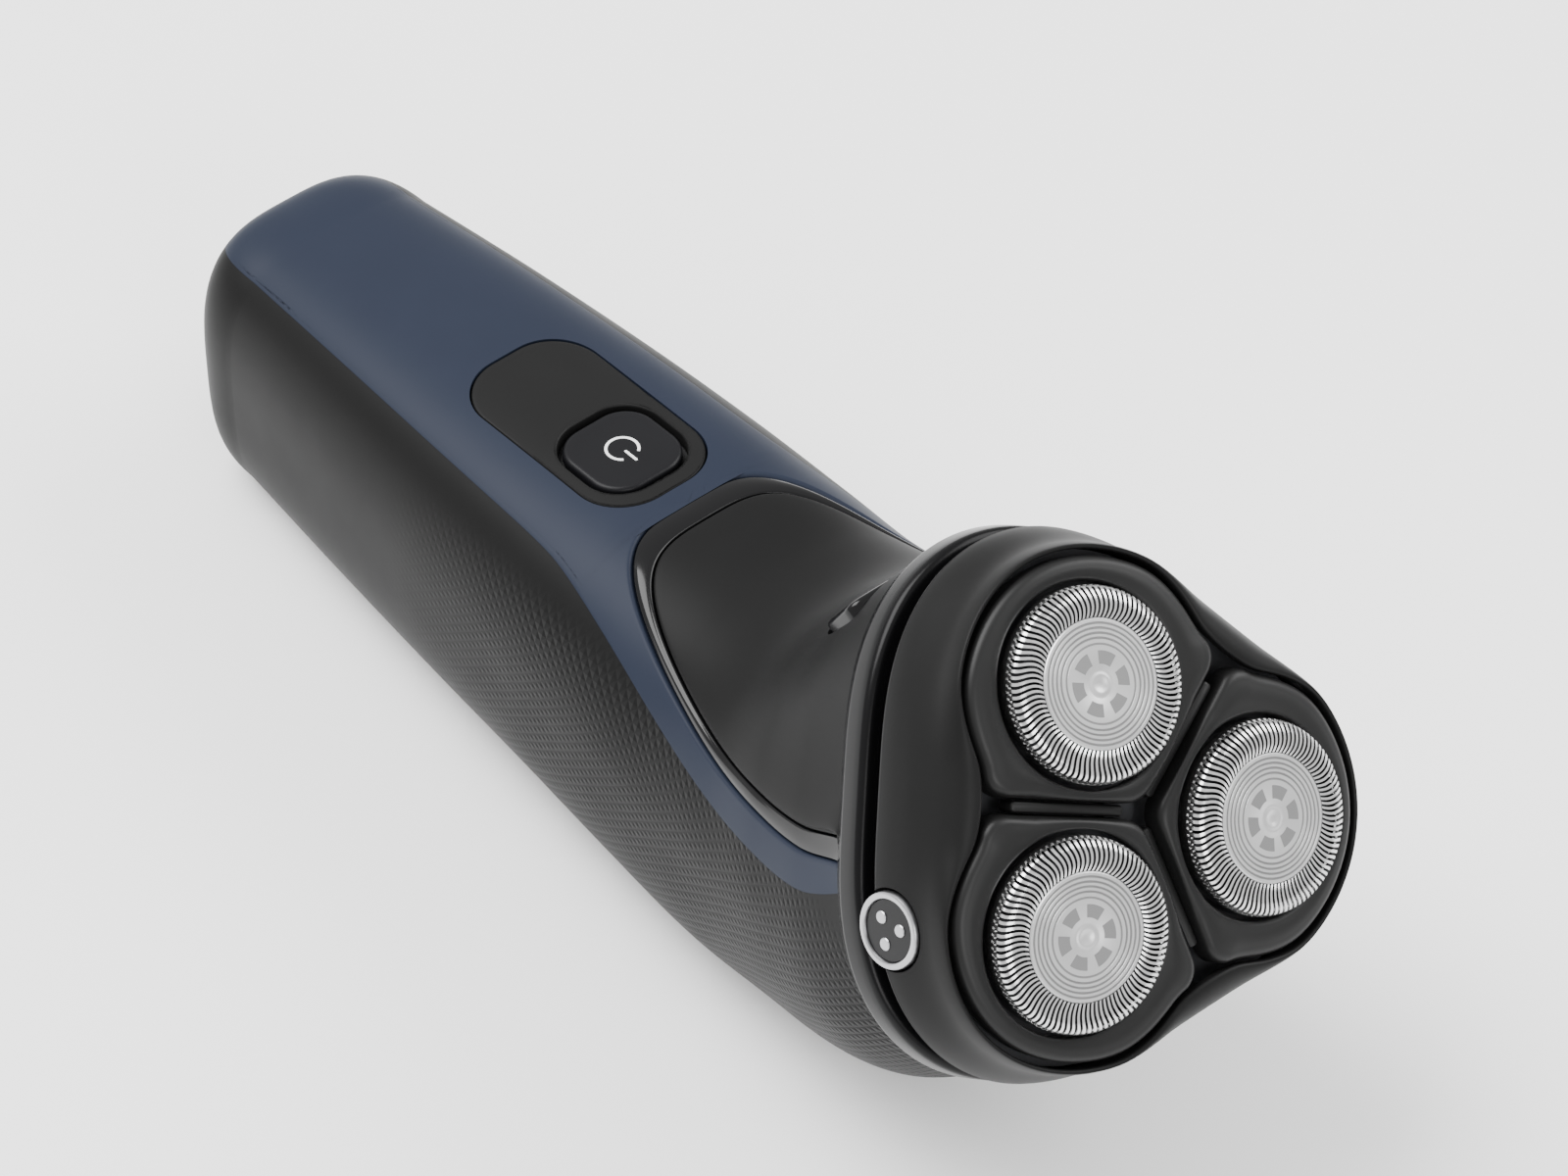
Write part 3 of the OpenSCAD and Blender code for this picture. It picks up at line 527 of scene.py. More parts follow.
# ---------------------------------------------------------------- handle shells
GAP = 0.13
handle_s = np.concatenate([-np.sin(np.linspace(1, 0, 16) * math.pi / 2) * 0.985,
                           np.linspace(0.04, ARCH, 56)])
neck_t = np.linspace(0, 1, 84)
neck_s = ARCH + (LAST - ARCH) * neck_t ** (1 / ARCH_POWER)


def rear_housing():
    s = np.unique(np.concatenate([handle_s, np.linspace(ARCH, LAST, 90)]))
    a = np.column_stack([s, 90 + flank_seam(s)])
    b = np.column_stack([s, 450 - flank_seam(s)])
    patch = surface_patch(a, b, 150, GAP, GAP)
    obj = shell_piece("rear_shell", [patch], "handle", "body_black", MAT["grip"], replaces=["rear_housing"])
    below = np.array([[-60, -120], [60, -120], [60, 120], [-60, 120]], float)
    trimmer_bay = rounded(24, 44, 4) + [0, BODY_Y + TRIMMER_BAY_Y]

    def world(p):
        return p

    cutters = [prism(below, -20, 0, world), prism(trimmer_bay, -5, 12, world)]
    for x, y in SCREWS:
        cutters.append(prism(circle(2, 40) + [x, BODY_Y + y], -1, 2.3, world))
        cutters.append(prism(circle(1.15, 32) + [x, BODY_Y + y], 0, 8, world))
    cut(obj, cutters)
    grip_map(obj)


def grip_map(obj):
    """Grip pattern's coordinates: along the handle and around it, and how deep the scales are."""
    mesh = obj.data
    co = np.empty(len(mesh.vertices) * 3)
    mesh.vertices.foreach_get("co", co)
    co = co.reshape(-1, 3) / MM
    c, s = math.cos(LAY), math.sin(LAY)
    y = (co[:, 1] - BODY_Y) * c - (co[:, 2] - FLOOR_Z) * s
    z = (co[:, 1] - BODY_Y) * s + (co[:, 2] - FLOOR_Z) * c
    depth = smooth((GRIP_FROM - y) / GRIP_FADE) * smooth((-z - 12) / 5)
    attr = mesh.attributes.new("grip_depth", "FLOAT", "POINT")
    attr.data.foreach_set("value", depth.astype(np.float32))
    while mesh.uv_layers:
        mesh.uv_layers.remove(mesh.uv_layers[0])
    layer = mesh.uv_layers.new(name="grip")
    idx = np.empty(len(mesh.loops), int)
    mesh.loops.foreach_get("vertex_index", idx)
    run = z + 0.35 * np.abs(co[:, 0])
    uv = np.column_stack([y, run * 1.25])[idx]
    layer.data.foreach_set("uv", uv.ravel().astype(np.float32))


def front_cover():
    """Blue cover: one shell up to the arch, then two arms along the neck."""
    steps = handle_s[handle_s < ARCH - 0.01]
    s = np.concatenate([steps, neck_s])
    a = np.column_stack([s, 90 - flank_seam(s)])
    retreat = 0.062
    mid = steps - retreat * smooth((steps - 2.6) / (ARCH - 2.6))
    seam = ARCH_WIDTH * neck_t * (LAST - ARCH) ** ARCH_POWER
    b = np.concatenate([np.column_stack([mid, np.full(len(mid), 90.0)]),
                        np.column_stack([neck_s, 90 - seam])])
    patch_a = surface_patch(a, b, 26, GAP, GAP, round_a=0.55, closed=len(steps))
    outer, inner = patch_a
    # Up to the arch the middle columns close on the line x = 0
    n = len(steps)
    for grid, inset in ((outer, 0.0), (inner, WALL)):
        m = grid.shape[1]
        for i in range(n):
            first = 8
            for j in range(first, m):
                t = (j - first) / (m - 1 - first)
                edge = 90 - flank_seam(steps[i])
                start_phi = edge + (90 - edge) * 0.12
                grid[i, j] = skin((1 - t) * steps[i] + t * mid[i], start_phi + (90 - start_phi) * t, inset)
            grid[i, m - 1] = skin(mid[i], 90, inset)
    obj = shell_piece("front_shell", [patch_a, mirrored(patch_a)], "handle", "cover_navy", MAT["navy"],
                      open_a=n, replaces=["front_cover"])
    cut(obj, [prism(rounded(PANEL_W + 0.3, PANEL_LEN + 0.3, PANEL_ROUND) + [0, PANEL_Y], -20, 5, to_world)])


def neck_trim():
    """Glossy strip round the neck cover, and the cover itself with the release button's hole."""
    tau = np.linspace(-1, 1, 181)
    far_b = ARCH_WIDTH * (LAST - ARCH) ** ARCH_POWER
    far_c = COVER_WIDTH * (LAST - COVER_ARCH) ** COVER_POWER
    outer = np.column_stack([ARCH + (np.abs(tau) * far_b / ARCH_WIDTH) ** (1 / ARCH_POWER),
                             90 + tau * far_b])
    inner = np.column_stack([COVER_ARCH + (np.abs(tau) * far_c / COVER_WIDTH) ** (1 / COVER_POWER),
                             90 + tau * far_c])
    patch = surface_patch(outer, inner, 8, GAP, GAP * 0.6, lift=0.08, bulge=0.12, round_a=0.3, round_b=0.3)
    shell_piece("neck_bezel_strip", [patch], "handle", "trim_gloss", MAT["gloss"], replaces=["neck_bezel"])
    end = np.column_stack([np.full_like(tau, LAST), 90 + tau * far_c])
    patch = surface_patch(inner, end, 64, GAP * 0.6, None, round_a=0.5, bulge=0.25)
    obj = shell_piece("neck_shell", [patch], "handle", "body_black", MAT["black"], replaces=["neck_cover"])
    cut(obj, [prism(rounded(RELEASE_W + 0.8, RELEASE_LEN + 0.8, 2), -6, 6, release_to_world)])


def release_to_world(p):
    """Frame of the release button: +Z out of the neck's front."""
    p = np.asarray(p, float)
    c, s = math.cos(RELEASE_TURN), math.sin(RELEASE_TURN)
    y = RELEASE_Y + p[..., 1] * c + p[..., 2] * s
    z = RELEASE_Z - p[..., 1] * s + p[..., 2] * c
    return to_world(np.stack([p[..., 0], y, z], -1))


# ---------------------------------------------------------------- buttons
def pillow(name, outline, top, bottom, radius, place, body, slot, material, dome=0.0, **more):
    """A pad with rounded upper edges round the origin; top(x, y) gives its height."""
    centre, rings = np.zeros(2), 8
    points = [place(np.column_stack([outline, np.full(len(outline), bottom)]))]
    for inward, down in sorted(edge_steps(radius, 7), key=lambda q: -q[1]):
        inner = shrink_to(outline, centre, inward)
        points.append(place(np.column_stack([inner, top(inner[:, 0], inner[:, 1]) - down])))
    for k in range(1, rings + 1):
        t = k / (rings + 0.35)
        ring = inner + (centre - inner) * t
        points.append(place(np.column_stack([ring, top(ring[:, 0], ring[:, 1]) + dome * smooth(t)])))
    return swept(name, np.asarray(points), body, slot, material, cap_ends=True, **more)


def front_height(x, y):
    """Height of the handle's front at (x, y), in the body frame."""
    s = np.interp(-np.asarray(y), -STATIONS[:5, 0], np.arange(5))
    q = station(s)
    mid, half = (q[..., 1] + q[..., 3]) / 2, (q[..., 1] - q[..., 3]) / 2
    return mid + half * (1 - np.abs(x / q[..., 4]) ** q[..., 5]) ** (1 / q[..., 5])


def by_angle(outline, n):
    """The outline's points at n even angles about the origin."""
    dense = np.concatenate([np.linspace(p, q, 30, endpoint=False)
                            for p, q in zip(outline, np.roll(outline, -1, 0))])
    ang = np.arctan2(dense[:, 1], dense[:, 0])
    order = np.argsort(ang)
    t = np.linspace(-math.pi, math.pi, n, endpoint=False)
    r = np.interp(t, ang[order], np.hypot(dense[order, 0], dense[order, 1]), period=2 * math.pi)
    return np.column_stack([r * np.cos(t), r * np.sin(t)])


def panel_and_button():
    """Panel with a hole that follows the handle's front, and the pad that stands in it."""
    half = BUTTON_HALF + BUTTON_GAP - 0.2
    hole = rounded(2 * half, 2 * half, BUTTON_ROUND + BUTTON_GAP, 24)
    centre = np.zeros(2)
    rim = rounded(PANEL_W, PANEL_LEN, PANEL_ROUND, 40) + [0, PANEL_Y - BUTTON_Y]
    hole, edge = by_angle(hole, 420), by_angle(rim, 420)

    def place(ring, z):
        return to_world(np.column_stack([ring[:, 0], ring[:, 1] + BUTTON_Y, z]))

    def level(ring):
        return front_height(ring[:, 0], ring[:, 1] + BUTTON_Y) - 0.03

    rings = [place(edge, level(edge) - 1.8)]
    for inward, down in sorted(edge_steps(0.3, 5), key=lambda q: -q[1]):
        ring = edge + (centre - edge) * (inward / np.linalg.norm(edge, axis=1))[:, None]
        rings.append(place(ring, level(ring) - down))
    for t in np.linspace(0.06, 0.94, 16):
        ring = edge + (hole - edge) * t
        rings.append(place(ring, level(ring)))
    for inward, down in sorted(edge_steps(0.35, 6), key=lambda q: q[1]):
        ring = hole * (1 + (inward / np.linalg.norm(hole, axis=1))[:, None])
        rings.append(place(ring, level(ring) - down))
    rings.append(place(hole, level(hole) - 1.8))
    swept("power_panel", np.asarray(rings), "handle", "panel_black", MAT["panel"], wrap_rows=True,
          replaces=["button_panel"])

    outline = rounded(2 * BUTTON_HALF, 2 * BUTTON_HALF, BUTTON_ROUND, 24)

    def top(x, y):
        return np.full_like(x, FRONT_Z + 0.12)

    def spot(p):
        return to_world(p + np.array([0, BUTTON_Y, 0]))

    pillow("power_pad", outline, top, FRONT_Z - 1.3, 0.6, spot, "power_button", "panel_black",
           MAT["button"], dome=0.1, replaces=["power_button"])
    icon(spot, FRONT_Z + 0.235)


def icon(spot, z):
    """A plain power symbol: an open ring and a bar towards the head."""
    half, mean, gap = 0.17, 1.9, math.radians(36)
    a = np.linspace(-math.pi / 2 + gap, 1.5 * math.pi - gap, 49)
    ring = []
    for r, h in ((mean - half, 0), (mean - half, 0.05), (mean + half, 0.05), (mean + half, 0)):
        ring.append(spot(np.column_stack([r * np.cos(a), r * np.sin(a), np.full(len(a), z - 0.05 + h)])))
    rows = np.stack(ring, 1)
    m = rows.shape[1]
    faces = loops(rows) + [list(range(m)), [(len(a) - 1) * m + j for j in range(m)][::-1]]
    make("power_mark_ring", rows.reshape(-1, 3), faces, "power_button", "panel_black", MAT["white"])
    bar = rounded(2 * half, 2.2, half, 6) + [0, -1.55]
    rings = [spot(np.column_stack([bar, np.full(len(bar), z - 0.05 + h)])) for h in (0, 0.05)]
    swept("power_mark_bar", np.asarray(rings), "power_button", "panel_black", MAT["white"], cap_ends=True)


def release_button():
    outline = rounded(RELEASE_W, RELEASE_LEN, 1.8, 12)

    def top(x, y):
        return 0.2 - 0.0045 * x ** 2

    pillow("release_pad", outline, top, -1.9, 0.6, release_to_world, "release_button", "trim_gloss",
           MAT["gloss"], replaces=["release_button"])


# ---------------------------------------------------------------- collar, badges
def tri(angle, shrink=0.0):
    return SHELL_R - shrink + SHELL_LOBE * np.cos(3 * (angle - math.pi / 2))


def tri_ring(shrink, w, n=288):
    a = np.linspace(0, 2 * math.pi, n, endpoint=False)
    r = tri(a, shrink)
    return np.column_stack([r * np.cos(a), r * np.sin(a), np.full(n, w)])


def collar():
    """Glossy ring with a plate, open for the spindles and the hinge, and the two pivot lugs."""
    profile = [(1.6, -21.9), (0.9, COLLAR_BACK), (0.02, COLLAR_BACK), (-0.06, -21.95), (-0.5, -20.85),
               (-0.58, -20.65), (-0.6, -20.4), (-0.6, -19.0), (-0.58, -18.0), (-0.45, -17.4),
               (-0.1, -17.08), (0.5, COLLAR_FRONT), (1.4, COLLAR_FRONT), (1.6, -17.2), (1.6, -19.5)]
    rings = [head_to_world(tri_ring(d, w)) for d, w in profile]
    ring = swept("collar_ring", np.asarray(rings), "handle", "trim_gloss", MAT["collar"], wrap_rows=True,
                 replaces=["collar"])
    hinge_slot = rounded(HINGE_SLOT_W, HINGE_SLOT_LEN, 0.4, 4) + [0, HINGE_SLOT_U]
    cut(ring, [prism(hinge_slot, -19.6, -15, head_to_world)])
    rings = [head_to_world(tri_ring(1.5, w, 144)) for w in (-17.9, COLLAR_FRONT - 0.1)]
    plate = swept("collar_plate", np.asarray(rings), "handle", "trim_gloss", MAT["black"], cap_ends=True)
    holes = [circle(4.4, 48) + CAP_PITCH_R * np.array([math.cos(a), math.sin(a)])
             for a in np.radians(list(CAPS.values()))]
    cut(plate, [prism(outline, -20, -15, head_to_world) for outline in holes + [hinge_slot]])
    lug = rounded(1.9, 5.6, 0.5, 6)
    for side, name in ((-1, "left"), (1, "right")):
        spot = lug + [side * (PIVOT_X - 0.95), 0]
        rings = [head_to_world(np.column_stack([spot, np.full(len(spot), w)])) for w in (-17.2, -12)]
        swept("pivot_lug_" + name, np.asarray(rings), "handle", "trim_gloss", MAT["black"], cap_ends=True)


BADGE = (29.04, 0.5, -11.8)
BADGE_TURN, BADGE_LEAN, BADGE_R = math.radians(17), math.radians(11), 4.3


def badge_place(side):
    """Frame of a badge: its face is the plane z = 0 and looks out of the head's side."""
    flat = math.cos(BADGE_LEAN)
    out = np.array([math.cos(BADGE_TURN) * flat, math.sin(BADGE_TURN) * flat, math.sin(BADGE_LEAN)])
    ahead = np.array([0, 0, 1.0]) - out * out[2]
    ahead /= np.linalg.norm(ahead)
    across_it = np.cross(out, ahead)

    def place(p):
        p = np.asarray(p, float)
        q = (np.array(BADGE) + p[..., :1] * across_it + p[..., 1:2] * ahead + p[..., 2:] * out)
        return head_to_world(q * np.array([side, 1, 1]))
    return place


def badges():
    """Silver ring round a dark face with three plain dots."""
    for side, name in ((-1, "left"), (1, "right")):
        place = badge_place(side)
        ring = [(BADGE_R, -1.2), (BADGE_R, -0.2), (4.22, -0.06), (4.05, 0), (3.72, 0), (3.58, -0.06),
                (3.52, -0.2), (3.52, -1.2)]
        rings = [place(np.column_stack([circle(r), np.full(96, z)])) for r, z in ring]
        swept("badge_ring_" + name, np.asarray(rings), "handle", "pin_steel", MAT["silver"], wrap_rows=True,
              replaces=["pivot_badges"] if side < 0 else [])
        face = [(3.5, -1.15), (3.5, -0.42), (3.38, -0.32), (2.4, -0.3), (1.2, -0.29)]
        rings = [place(np.column_stack([circle(r), np.full(96, z)])) for r, z in face]
        swept("badge_face_" + name, np.asarray(rings), "handle", "pin_steel", MAT["badge"], cap_ends=True)
        for k in range(3):
            a = math.radians(90 + 120 * k)
            spot = np.array([1.7 * math.cos(a), 1.7 * math.sin(a)])
            rings = [place(np.column_stack([circle(r, 40) + spot, np.full(40, z)]))
                     for r, z in ((0.72, -0.7), (0.72, -0.2), (0.64, -0.12), (0.3, -0.1))]
            swept("badge_dot_%s_%d" % (name, k), np.asarray(rings), "handle", "pin_steel", MAT["silver"],
                  cap_ends=True)
        stem = [place(np.column_stack([circle(0.9, 32) + [0, -1.2], np.full(32, z)])) for z in (-2.6, -1.1)]
        swept("badge_stem_" + name, np.asarray(stem), "handle", "pin_steel", MAT["silver"], cap_ends=True)


# ---------------------------------------------------------------- head
SHELL_FLARE, SHELL_LEAN = 0.6, 1.4
HOLDER_R, CORNER_R, RIM, OPENING_GAP = 15.0, 19.9, 2.1, 0.4
GROOVE_HALF, HOLE_GAP, HOLDER_TOP = 1.1, 0.55, -2.0


def holder_edge(fold_deg, grow=0.0):
    """Distance of the holders' outline from the head's centre, at an angle from a cap's middle."""
    a = np.radians(fold_deg)
    r = HOLDER_R + grow
    round_end = CAP_PITCH_R * np.cos(a) + np.sqrt(np.maximum(r * r - (CAP_PITCH_R * np.sin(a)) ** 2, 0.01))
    corner = (CORNER_R + grow) / np.cos(np.radians(60) - a)
    edge = soft_max(round_end, corner, 1.6)
    return -soft_max(-edge, -(SHELL_R + SHELL_LOBE * np.cos(3 * a) - RIM + grow), 0.5)


def soft_max(a, b, width):
    return (a + b + np.sqrt((a - b) ** 2 + width ** 2)) / 2


def fold(angle_deg):
    return np.abs((angle_deg + 330) % 120 - 60)


def head_shell():
    """Head's cover: a rounded triangle that rolls over into the holders' opening."""
    n = 360
    deg = np.linspace(0, 360, n, endpoint=False)
    a = np.radians(deg)
    outline, opening = tri(a), holder_edge(fold(deg), OPENING_GAP)
    rim = -3.2 - 1.1 * np.cos(3 * (a - math.pi / 2))
    rows = [(outline - 1.6, np.full(n, SHELL_BACK + 0.1)), (outline - 1.5, np.full(n, SHELL_BACK)),
            (outline + SHELL_FLARE - 0.5, np.full(n, SHELL_BACK)),
            (outline + SHELL_FLARE - 0.15, np.full(n, SHELL_BACK + 0.15)),
            (outline + SHELL_FLARE, np.full(n, SHELL_BACK + 0.5))]
    for t in np.linspace(0.06, 1, 40):
        # A wall that leans in, then a soft shoulder towards the opening
        turn = np.clip((t - 0.35) / 0.65, 0, 1)
        c = 1 - np.cos(turn * math.pi / 2)
        share = 0.5 * c + 0.5 * turn ** 2.2
        rise = t if t < 0.35 else 0.35 + 0.65 * math.sin(turn * math.pi / 2)
        height = SHELL_BACK + (rim - SHELL_BACK) * rise
        lean = SHELL_FLARE - SHELL_LEAN * smooth(rise * 1.3)
        rows.append((outline + lean * (1 - share) + (opening + 0.45 - outline) * share, height))
    rows += [(opening + 0.2, rim - 0.06), (opening + 0.05, rim - 0.2), (opening, rim - 0.45),
             (opening, rim - 1.2), (np.minimum(outline - 1.7, opening + 3), np.full(n, -6.4)),
             (outline - 1.6, np.full(n, -7.4))]
    rings = [head_to_world(np.column_stack([r * np.cos(a), r * np.sin(a), w])) for r, w in rows]
    obj = swept("head_cover", np.asarray(rings), "head", "body_black", MAT["shell"], wrap_rows=True,
                replaces=["head_shell"])
    cut(obj, [prism(circle(BADGE_R + 0.35, 72), -6, 4, badge_place(side)) for side in (-1, 1)])


def holder(name, angle):
    """A petal around one cap: rounded outer edges, nearly flat top and a rolled rim at the cap."""
    n = 240
    groove = GROOVE_HALF / math.cos(math.radians(30))
    t = np.linspace(-math.pi, math.pi, n, endpoint=False)
    head_deg = np.linspace(-60, 60, 241)
    r = holder_edge(np.abs(head_deg), 0.0)
    arc = np.column_stack([r * np.cos(np.radians(head_deg)), r * np.sin(np.radians(head_deg))])
    arc = arc - [CAP_PITCH_R, 0]
    tip = np.array([groove - CAP_PITCH_R, 0.0])
    line = np.array([math.cos(math.radians(60)), math.sin(math.radians(60))])
    keep = []
    for p in arc:
        d = p - tip
        if abs(d[1]) * line[0] <= d[0] * line[1]:
            keep.append(p)
    keep = np.array(keep)
    low = np.linspace(tip, keep[0], 60)[:-1]
    high = np.linspace(keep[-1], tip, 60)[1:-1]
    path = np.concatenate([low, keep, high])
    ang = np.unwrap(np.arctan2(path[:, 1], path[:, 0]))
    rad = np.hypot(path[:, 0], path[:, 1])
    order = np.argsort(ang % (2 * math.pi))
    base = np.interp(t % (2 * math.pi), (ang % (2 * math.pi))[order], rad[order], period=2 * math.pi)
    kernel = np.hanning(19)
    kernel /= kernel.sum()
    wrapped = np.concatenate([base[-9:], base, base[:9]])
    base = np.minimum(np.convolve(wrapped, kernel, "valid"), base + 0.02)
    hole, top = CAP_R + HOLE_GAP, HOLDER_TOP

    def ring(radius, z):
        flat = [radius * np.cos(t), radius * np.sin(t), np.broadcast_to(z, (n,))]
        return cap_to_world(np.column_stack(flat), angle)

    width = np.maximum(base - hole, 0.6)
    rise = 0.55 * smooth((width - 1) / 5)
    rows = [ring(hole + 1.0, -5.0), ring(base, -5.0)]
    edge = np.minimum(1.15, width * 0.45)
    for q in np.linspace(0, 1, 8) * math.pi / 2:
        rows.append(ring(base - edge * (1 - math.cos(q)), top - edge * (1 - math.sin(q))))
    inner_edge = np.minimum(0.55, width * 0.25)
    for k in np.linspace(0.1, 0.9, 8):
        outer_r, inner_r = base - edge, hole + inner_edge
        rows.append(ring(outer_r + (inner_r - outer_r) * k, top + rise * math.sin(math.pi * k) * 0.4))
    for q in np.linspace(0, 1, 6) * math.pi / 2:
        rows.append(ring(hole + inner_edge * (1 - math.sin(q)), top - inner_edge * (1 - math.cos(q))))
    rows += [ring(hole, -3.6), ring(hole + 1.0, -3.7)]
    swept("petal_" + name, np.asarray(rows), "holder_" + name, "body_black", MAT["head"], wrap_rows=True,
          replaces=["holder_" + name])


def cap(name, angle):
    """Thin steel cap: a raised ring cut by curved slots that run over its edge and down its wall."""
    slots, steps = 92, 8
    cells = slots * steps
    profile = [(DISC_R + 0.02, 0.05), (DISC_R + 0.08, 0.24), (DISC_R + 0.3, 0.3), (7.7, 0.38),
               (8.0, 0.43), (8.3, 0.46), (8.65, 0.47), (9.0, 0.46), (9.35, 0.42), (9.65, 0.35),
               (9.95, 0.24), (10.2, 0.1),
               (10.42, -0.08), (10.6, -0.33), (10.71, -0.65), (CAP_R, -1.0), (CAP_R, -1.5), (CAP_R, -2.6),
               (CAP_R, -3.9)]
    open_from, open_to = 1, 16
    t = np.arange(len(profile))
    k = (t - open_from) / (open_to - open_from)
    k = np.clip(k, 0, 1)
    twist = -np.radians(1.7) * np.sin(k * 2 * math.pi) - np.radians(1.2) * (k - 0.5)
    base = np.linspace(0, 2 * math.pi, cells, endpoint=False)
    wall = 0.3
    outer, inner = [], []
    for i, (r, z) in enumerate(profile):
        a = base + twist[i]
        outer.append(np.column_stack([r * np.cos(a), r * np.sin(a), np.full(cells, z)]))
        ri = r if r < DISC_R + 0.2 else max(r - wall * smooth((r - 9.2) / 1.4), 0)
        zi = z - wall * (1 - smooth((r - 10.2) / 0.5))
        inner.append(np.column_stack([ri * np.cos(a), ri * np.sin(a), np.full(cells, zi)]))
    outer, inner = np.array(outer), np.array(inner)
    rows = len(profile)
    points = np.concatenate([outer.reshape(-1, 3), inner.reshape(-1, 3)])
    lower = rows * cells
    is_open = np.zeros((rows - 1, cells), bool)
    for i in range(open_from, open_to):
        for j in range(cells):
            is_open[i, j] = (j % steps) < (3 if i == open_to - 1 else 4)
    faces = []
    for i in range(rows - 1):
        for j in range(cells):
            l = (j + 1) % cells
            a, b, c, d = i * cells + j, i * cells + l, (i + 1) * cells + l, (i + 1) * cells + j
            if is_open[i, j]:
                continue
            faces += [[a, b, c, d], [lower + a, lower + d, lower + c, lower + b]]
            for (p, q), other in (((a, d), (i, (j - 1) % cells)), ((c, b), (i, l)),
                                  ((b, a), (i - 1, j)), ((d, c), (i + 1, j))):
                row = other[0]
                edge = row < 0 or row >= rows - 1
                if edge or is_open[other[0], other[1]]:
                    faces.append([p, q, lower + q, lower + p])
    make("slot_cap_" + name, cap_to_world(points, angle), faces, "holder_" + name, "steel", MAT["cap"],
         replaces=["cap_" + name], sharp=30)


def disc(name, angle):
    """Plain disc with five turned grooves, a dished centre and an etched ring of segments. The darker steel
    rings laid in the grooves are painted shade.
    """
    grooves = [0.61, 0.56, 0.51, 0.46, 0.40]
    pts = [(DISC_R, -0.7), (DISC_R, 0.22), (DISC_R - 0.12, 0.34)]
    for g in grooves:
        r = g * CAP_R
        pts += [(r + 0.13, 0.35), (r + 0.07, 0.27), (r - 0.07, 0.27), (r - 0.13, 0.35)]
    pts += [(1.75, 0.35), (1.6, 0.30), (1.25, 0.30), (1.1, 0.35), (0.85, 0.33), (0.6, 0.24), (0.2, 0.2)]
    n = 128
    rings = [cap_to_world(np.column_stack([circle(r, n), np.full(n, z)]), angle) for r, z in pts]
    swept("centre_disc_" + name, np.asarray(rings), "holder_" + name, "steel", MAT["disc"], cap_ends=True,
          replaces=["disc_" + name], sharp=25)
    # Rings of darker steel in the turned grooves: painted shade, not a colour the disc has
    for k, g in enumerate(grooves):
        half = 0.075 if g > 0.42 else 0.11
        line = [(g * CAP_R + side * half, z)
                for side, z in ((-1, 0.24), (-1, 0.335), (1, 0.335), (1, 0.24))]
        rings = [cap_to_world(np.column_stack([circle(r, n), np.full(n, z)]), angle) for r, z in line]
        swept("disc_groove_shade_%s_%d" % (name, k), np.asarray(rings), "holder_" + name, "steel", MAT["disc_dark"],
              wrap_rows=True)
    inner, outer, count, fill = 0.2 * CAP_R, 0.335 * CAP_R, 6, 0.62
    points, faces = [], []
    for k in range(count):
        a = np.linspace(0, fill * 2 * math.pi / count, 10) + k * 2 * math.pi / count
        base = len(points)
        for ang in a:
            for r, z in ((inner, 0.3), (inner, 0.362), (outer, 0.362), (outer, 0.3)):
                points.append([r * math.cos(ang), r * math.sin(ang), z])
        grid = np.array(points[base:]).reshape(len(a), 4, 3)
        faces += loops(grid, start=base)
        faces += [[base, base + 1, base + 2, base + 3], [base + 36 + j for j in (3, 2, 1, 0)]]
    make("disc_segments_" + name, cap_to_world(np.array(points), angle), faces, "holder_" + name, "steel",
         MAT["disc_dark"])


def groove_bars():
    """Low bars in the three grooves between the holders."""
    middle = np.array([9.25, 0])
    outline = rounded(14.5, 1.3, 0.5, 8) + middle
    for k, a in enumerate(np.radians([30, 150, 270])):
        along, side = np.array([math.cos(a), math.sin(a)]), np.array([-math.sin(a), math.cos(a)])
        rings = []
        for inward, w in ((0, -5.0), (0, -2.9), (0.08, -2.7), (0.22, -2.6)):
            ring = shrink_to(outline, middle, inward)
            rings.append(head_to_world(np.column_stack([ring[:, :1] * along + ring[:, 1:] * side,
                                                        np.full(len(ring), w)])))
        swept("groove_bar_%d" % k, np.asarray(rings), "head", "body_black", MAT["head"], cap_ends=True,
              replaces=["groove_bars"] if k == 0 else [])


rear_housing()
front_cover()
neck_trim()
panel_and_button()
release_button()
collar()
badges()
head_shell()
groove_bars()
for cap_name, cap_angle in CAPS.items():
    holder(cap_name, cap_angle)
    cap(cap_name, cap_angle)
    disc(cap_name, cap_angle)

# ---------------------------------------------------------------- stage, light, camera
def floor():
    half, drop = 3000, 0.02
    points = [[x, y, -drop] for y in (-half, half) for x in (-half, half)]
    m, nt, bsdf = new_material("studio_floor")
    link(nt, mapped(nt, noise(nt, 40, 3), "Fac", 0.60, 0.64), "Result", bsdf, "Roughness")
    bsdf.inputs["Base Color"].default_value = srgb(246, 246, 246)
    make("floor", points, [[0, 1, 3, 2]], None, None, m)


floor()


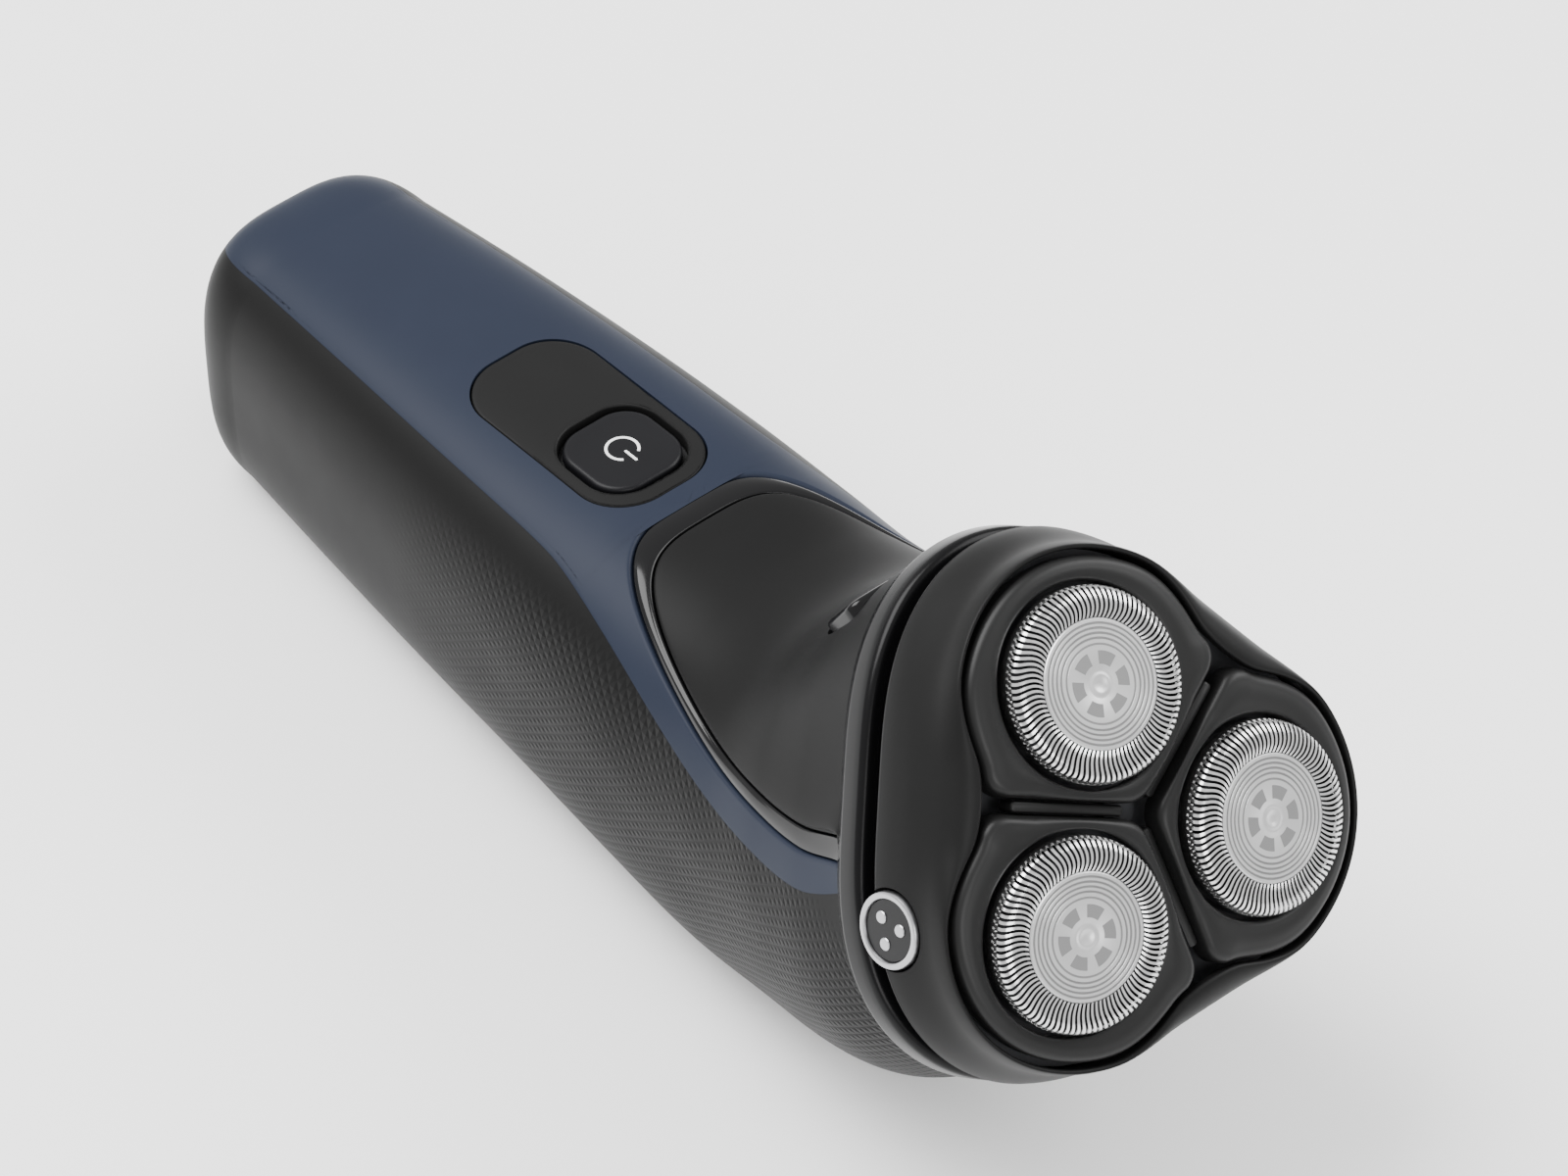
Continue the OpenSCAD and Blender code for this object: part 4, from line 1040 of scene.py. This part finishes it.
def area(name, place, target, size, power):
    data = bpy.data.lights.new(name, "AREA")
    data.shape, data.size = "SQUARE", size
    data.energy = power
    obj = bpy.data.objects.new(name, data)
    obj.location = place
    obj.rotation_euler = (Vector(target) - Vector(place)).to_track_quat("-Z", "Y").to_euler()
    bpy.context.scene.collection.objects.link(obj)


world = bpy.data.worlds.new("studio")
bpy.context.scene.world = world
world.use_nodes = True
world.node_tree.nodes["Background"].inputs["Color"].default_value = (1, 1, 1, 1)
world.node_tree.nodes["Background"].inputs["Strength"].default_value = 1.05
area("key", (-0.35, 0.5, 1.0), (0, 0, 0.03), 0.9, 30)
area("fill", (0.8, -0.3, 0.7), (0, 0, 0.04), 0.7, 11)
area("front", (-0.3, -0.95, 0.6), (0, -0.06, 0.06), 0.6, 7)

# The camera's place is worked out in the body's frame
AZIMUTH, ELEVATION, ROLL = np.radians([-39.201, 43.149, -1.753])
HEAD_IN_CAMERA = np.array([41.365, 25.252, 879.595]) * (CAP_R / 11.25)
FOCAL_OVER_WIDTH, SENSOR = 5.0, 36
back = np.array([math.sin(AZIMUTH) * math.cos(ELEVATION), -math.cos(AZIMUTH) * math.cos(ELEVATION),
                 math.sin(ELEVATION)])
right = np.array([math.cos(AZIMUTH), math.sin(AZIMUTH), 0])
up = np.cross(back, right)
right, up = (math.cos(ROLL) * right + math.sin(ROLL) * up, -math.sin(ROLL) * right + math.cos(ROLL) * up)
eye = -(HEAD_IN_CAMERA[0] * right - HEAD_IN_CAMERA[1] * up - HEAD_IN_CAMERA[2] * back)
origin = to_world(np.zeros(3))
turn = [to_world(v) - origin for v in (right, up, back)]
data = bpy.data.cameras.new("camera")
data.sensor_width = SENSOR
data.lens = SENSOR * FOCAL_OVER_WIDTH
data.clip_start, data.clip_end = 0.05, 20
camera = bpy.data.objects.new("camera", data)
camera.matrix_world = Matrix([[turn[0][k], turn[1][k], turn[2][k], to_world(eye)[k] * MM] for k in range(3)]
                             + [[0, 0, 0, 1]])
bpy.context.scene.collection.objects.link(camera)
bpy.context.scene.camera = camera
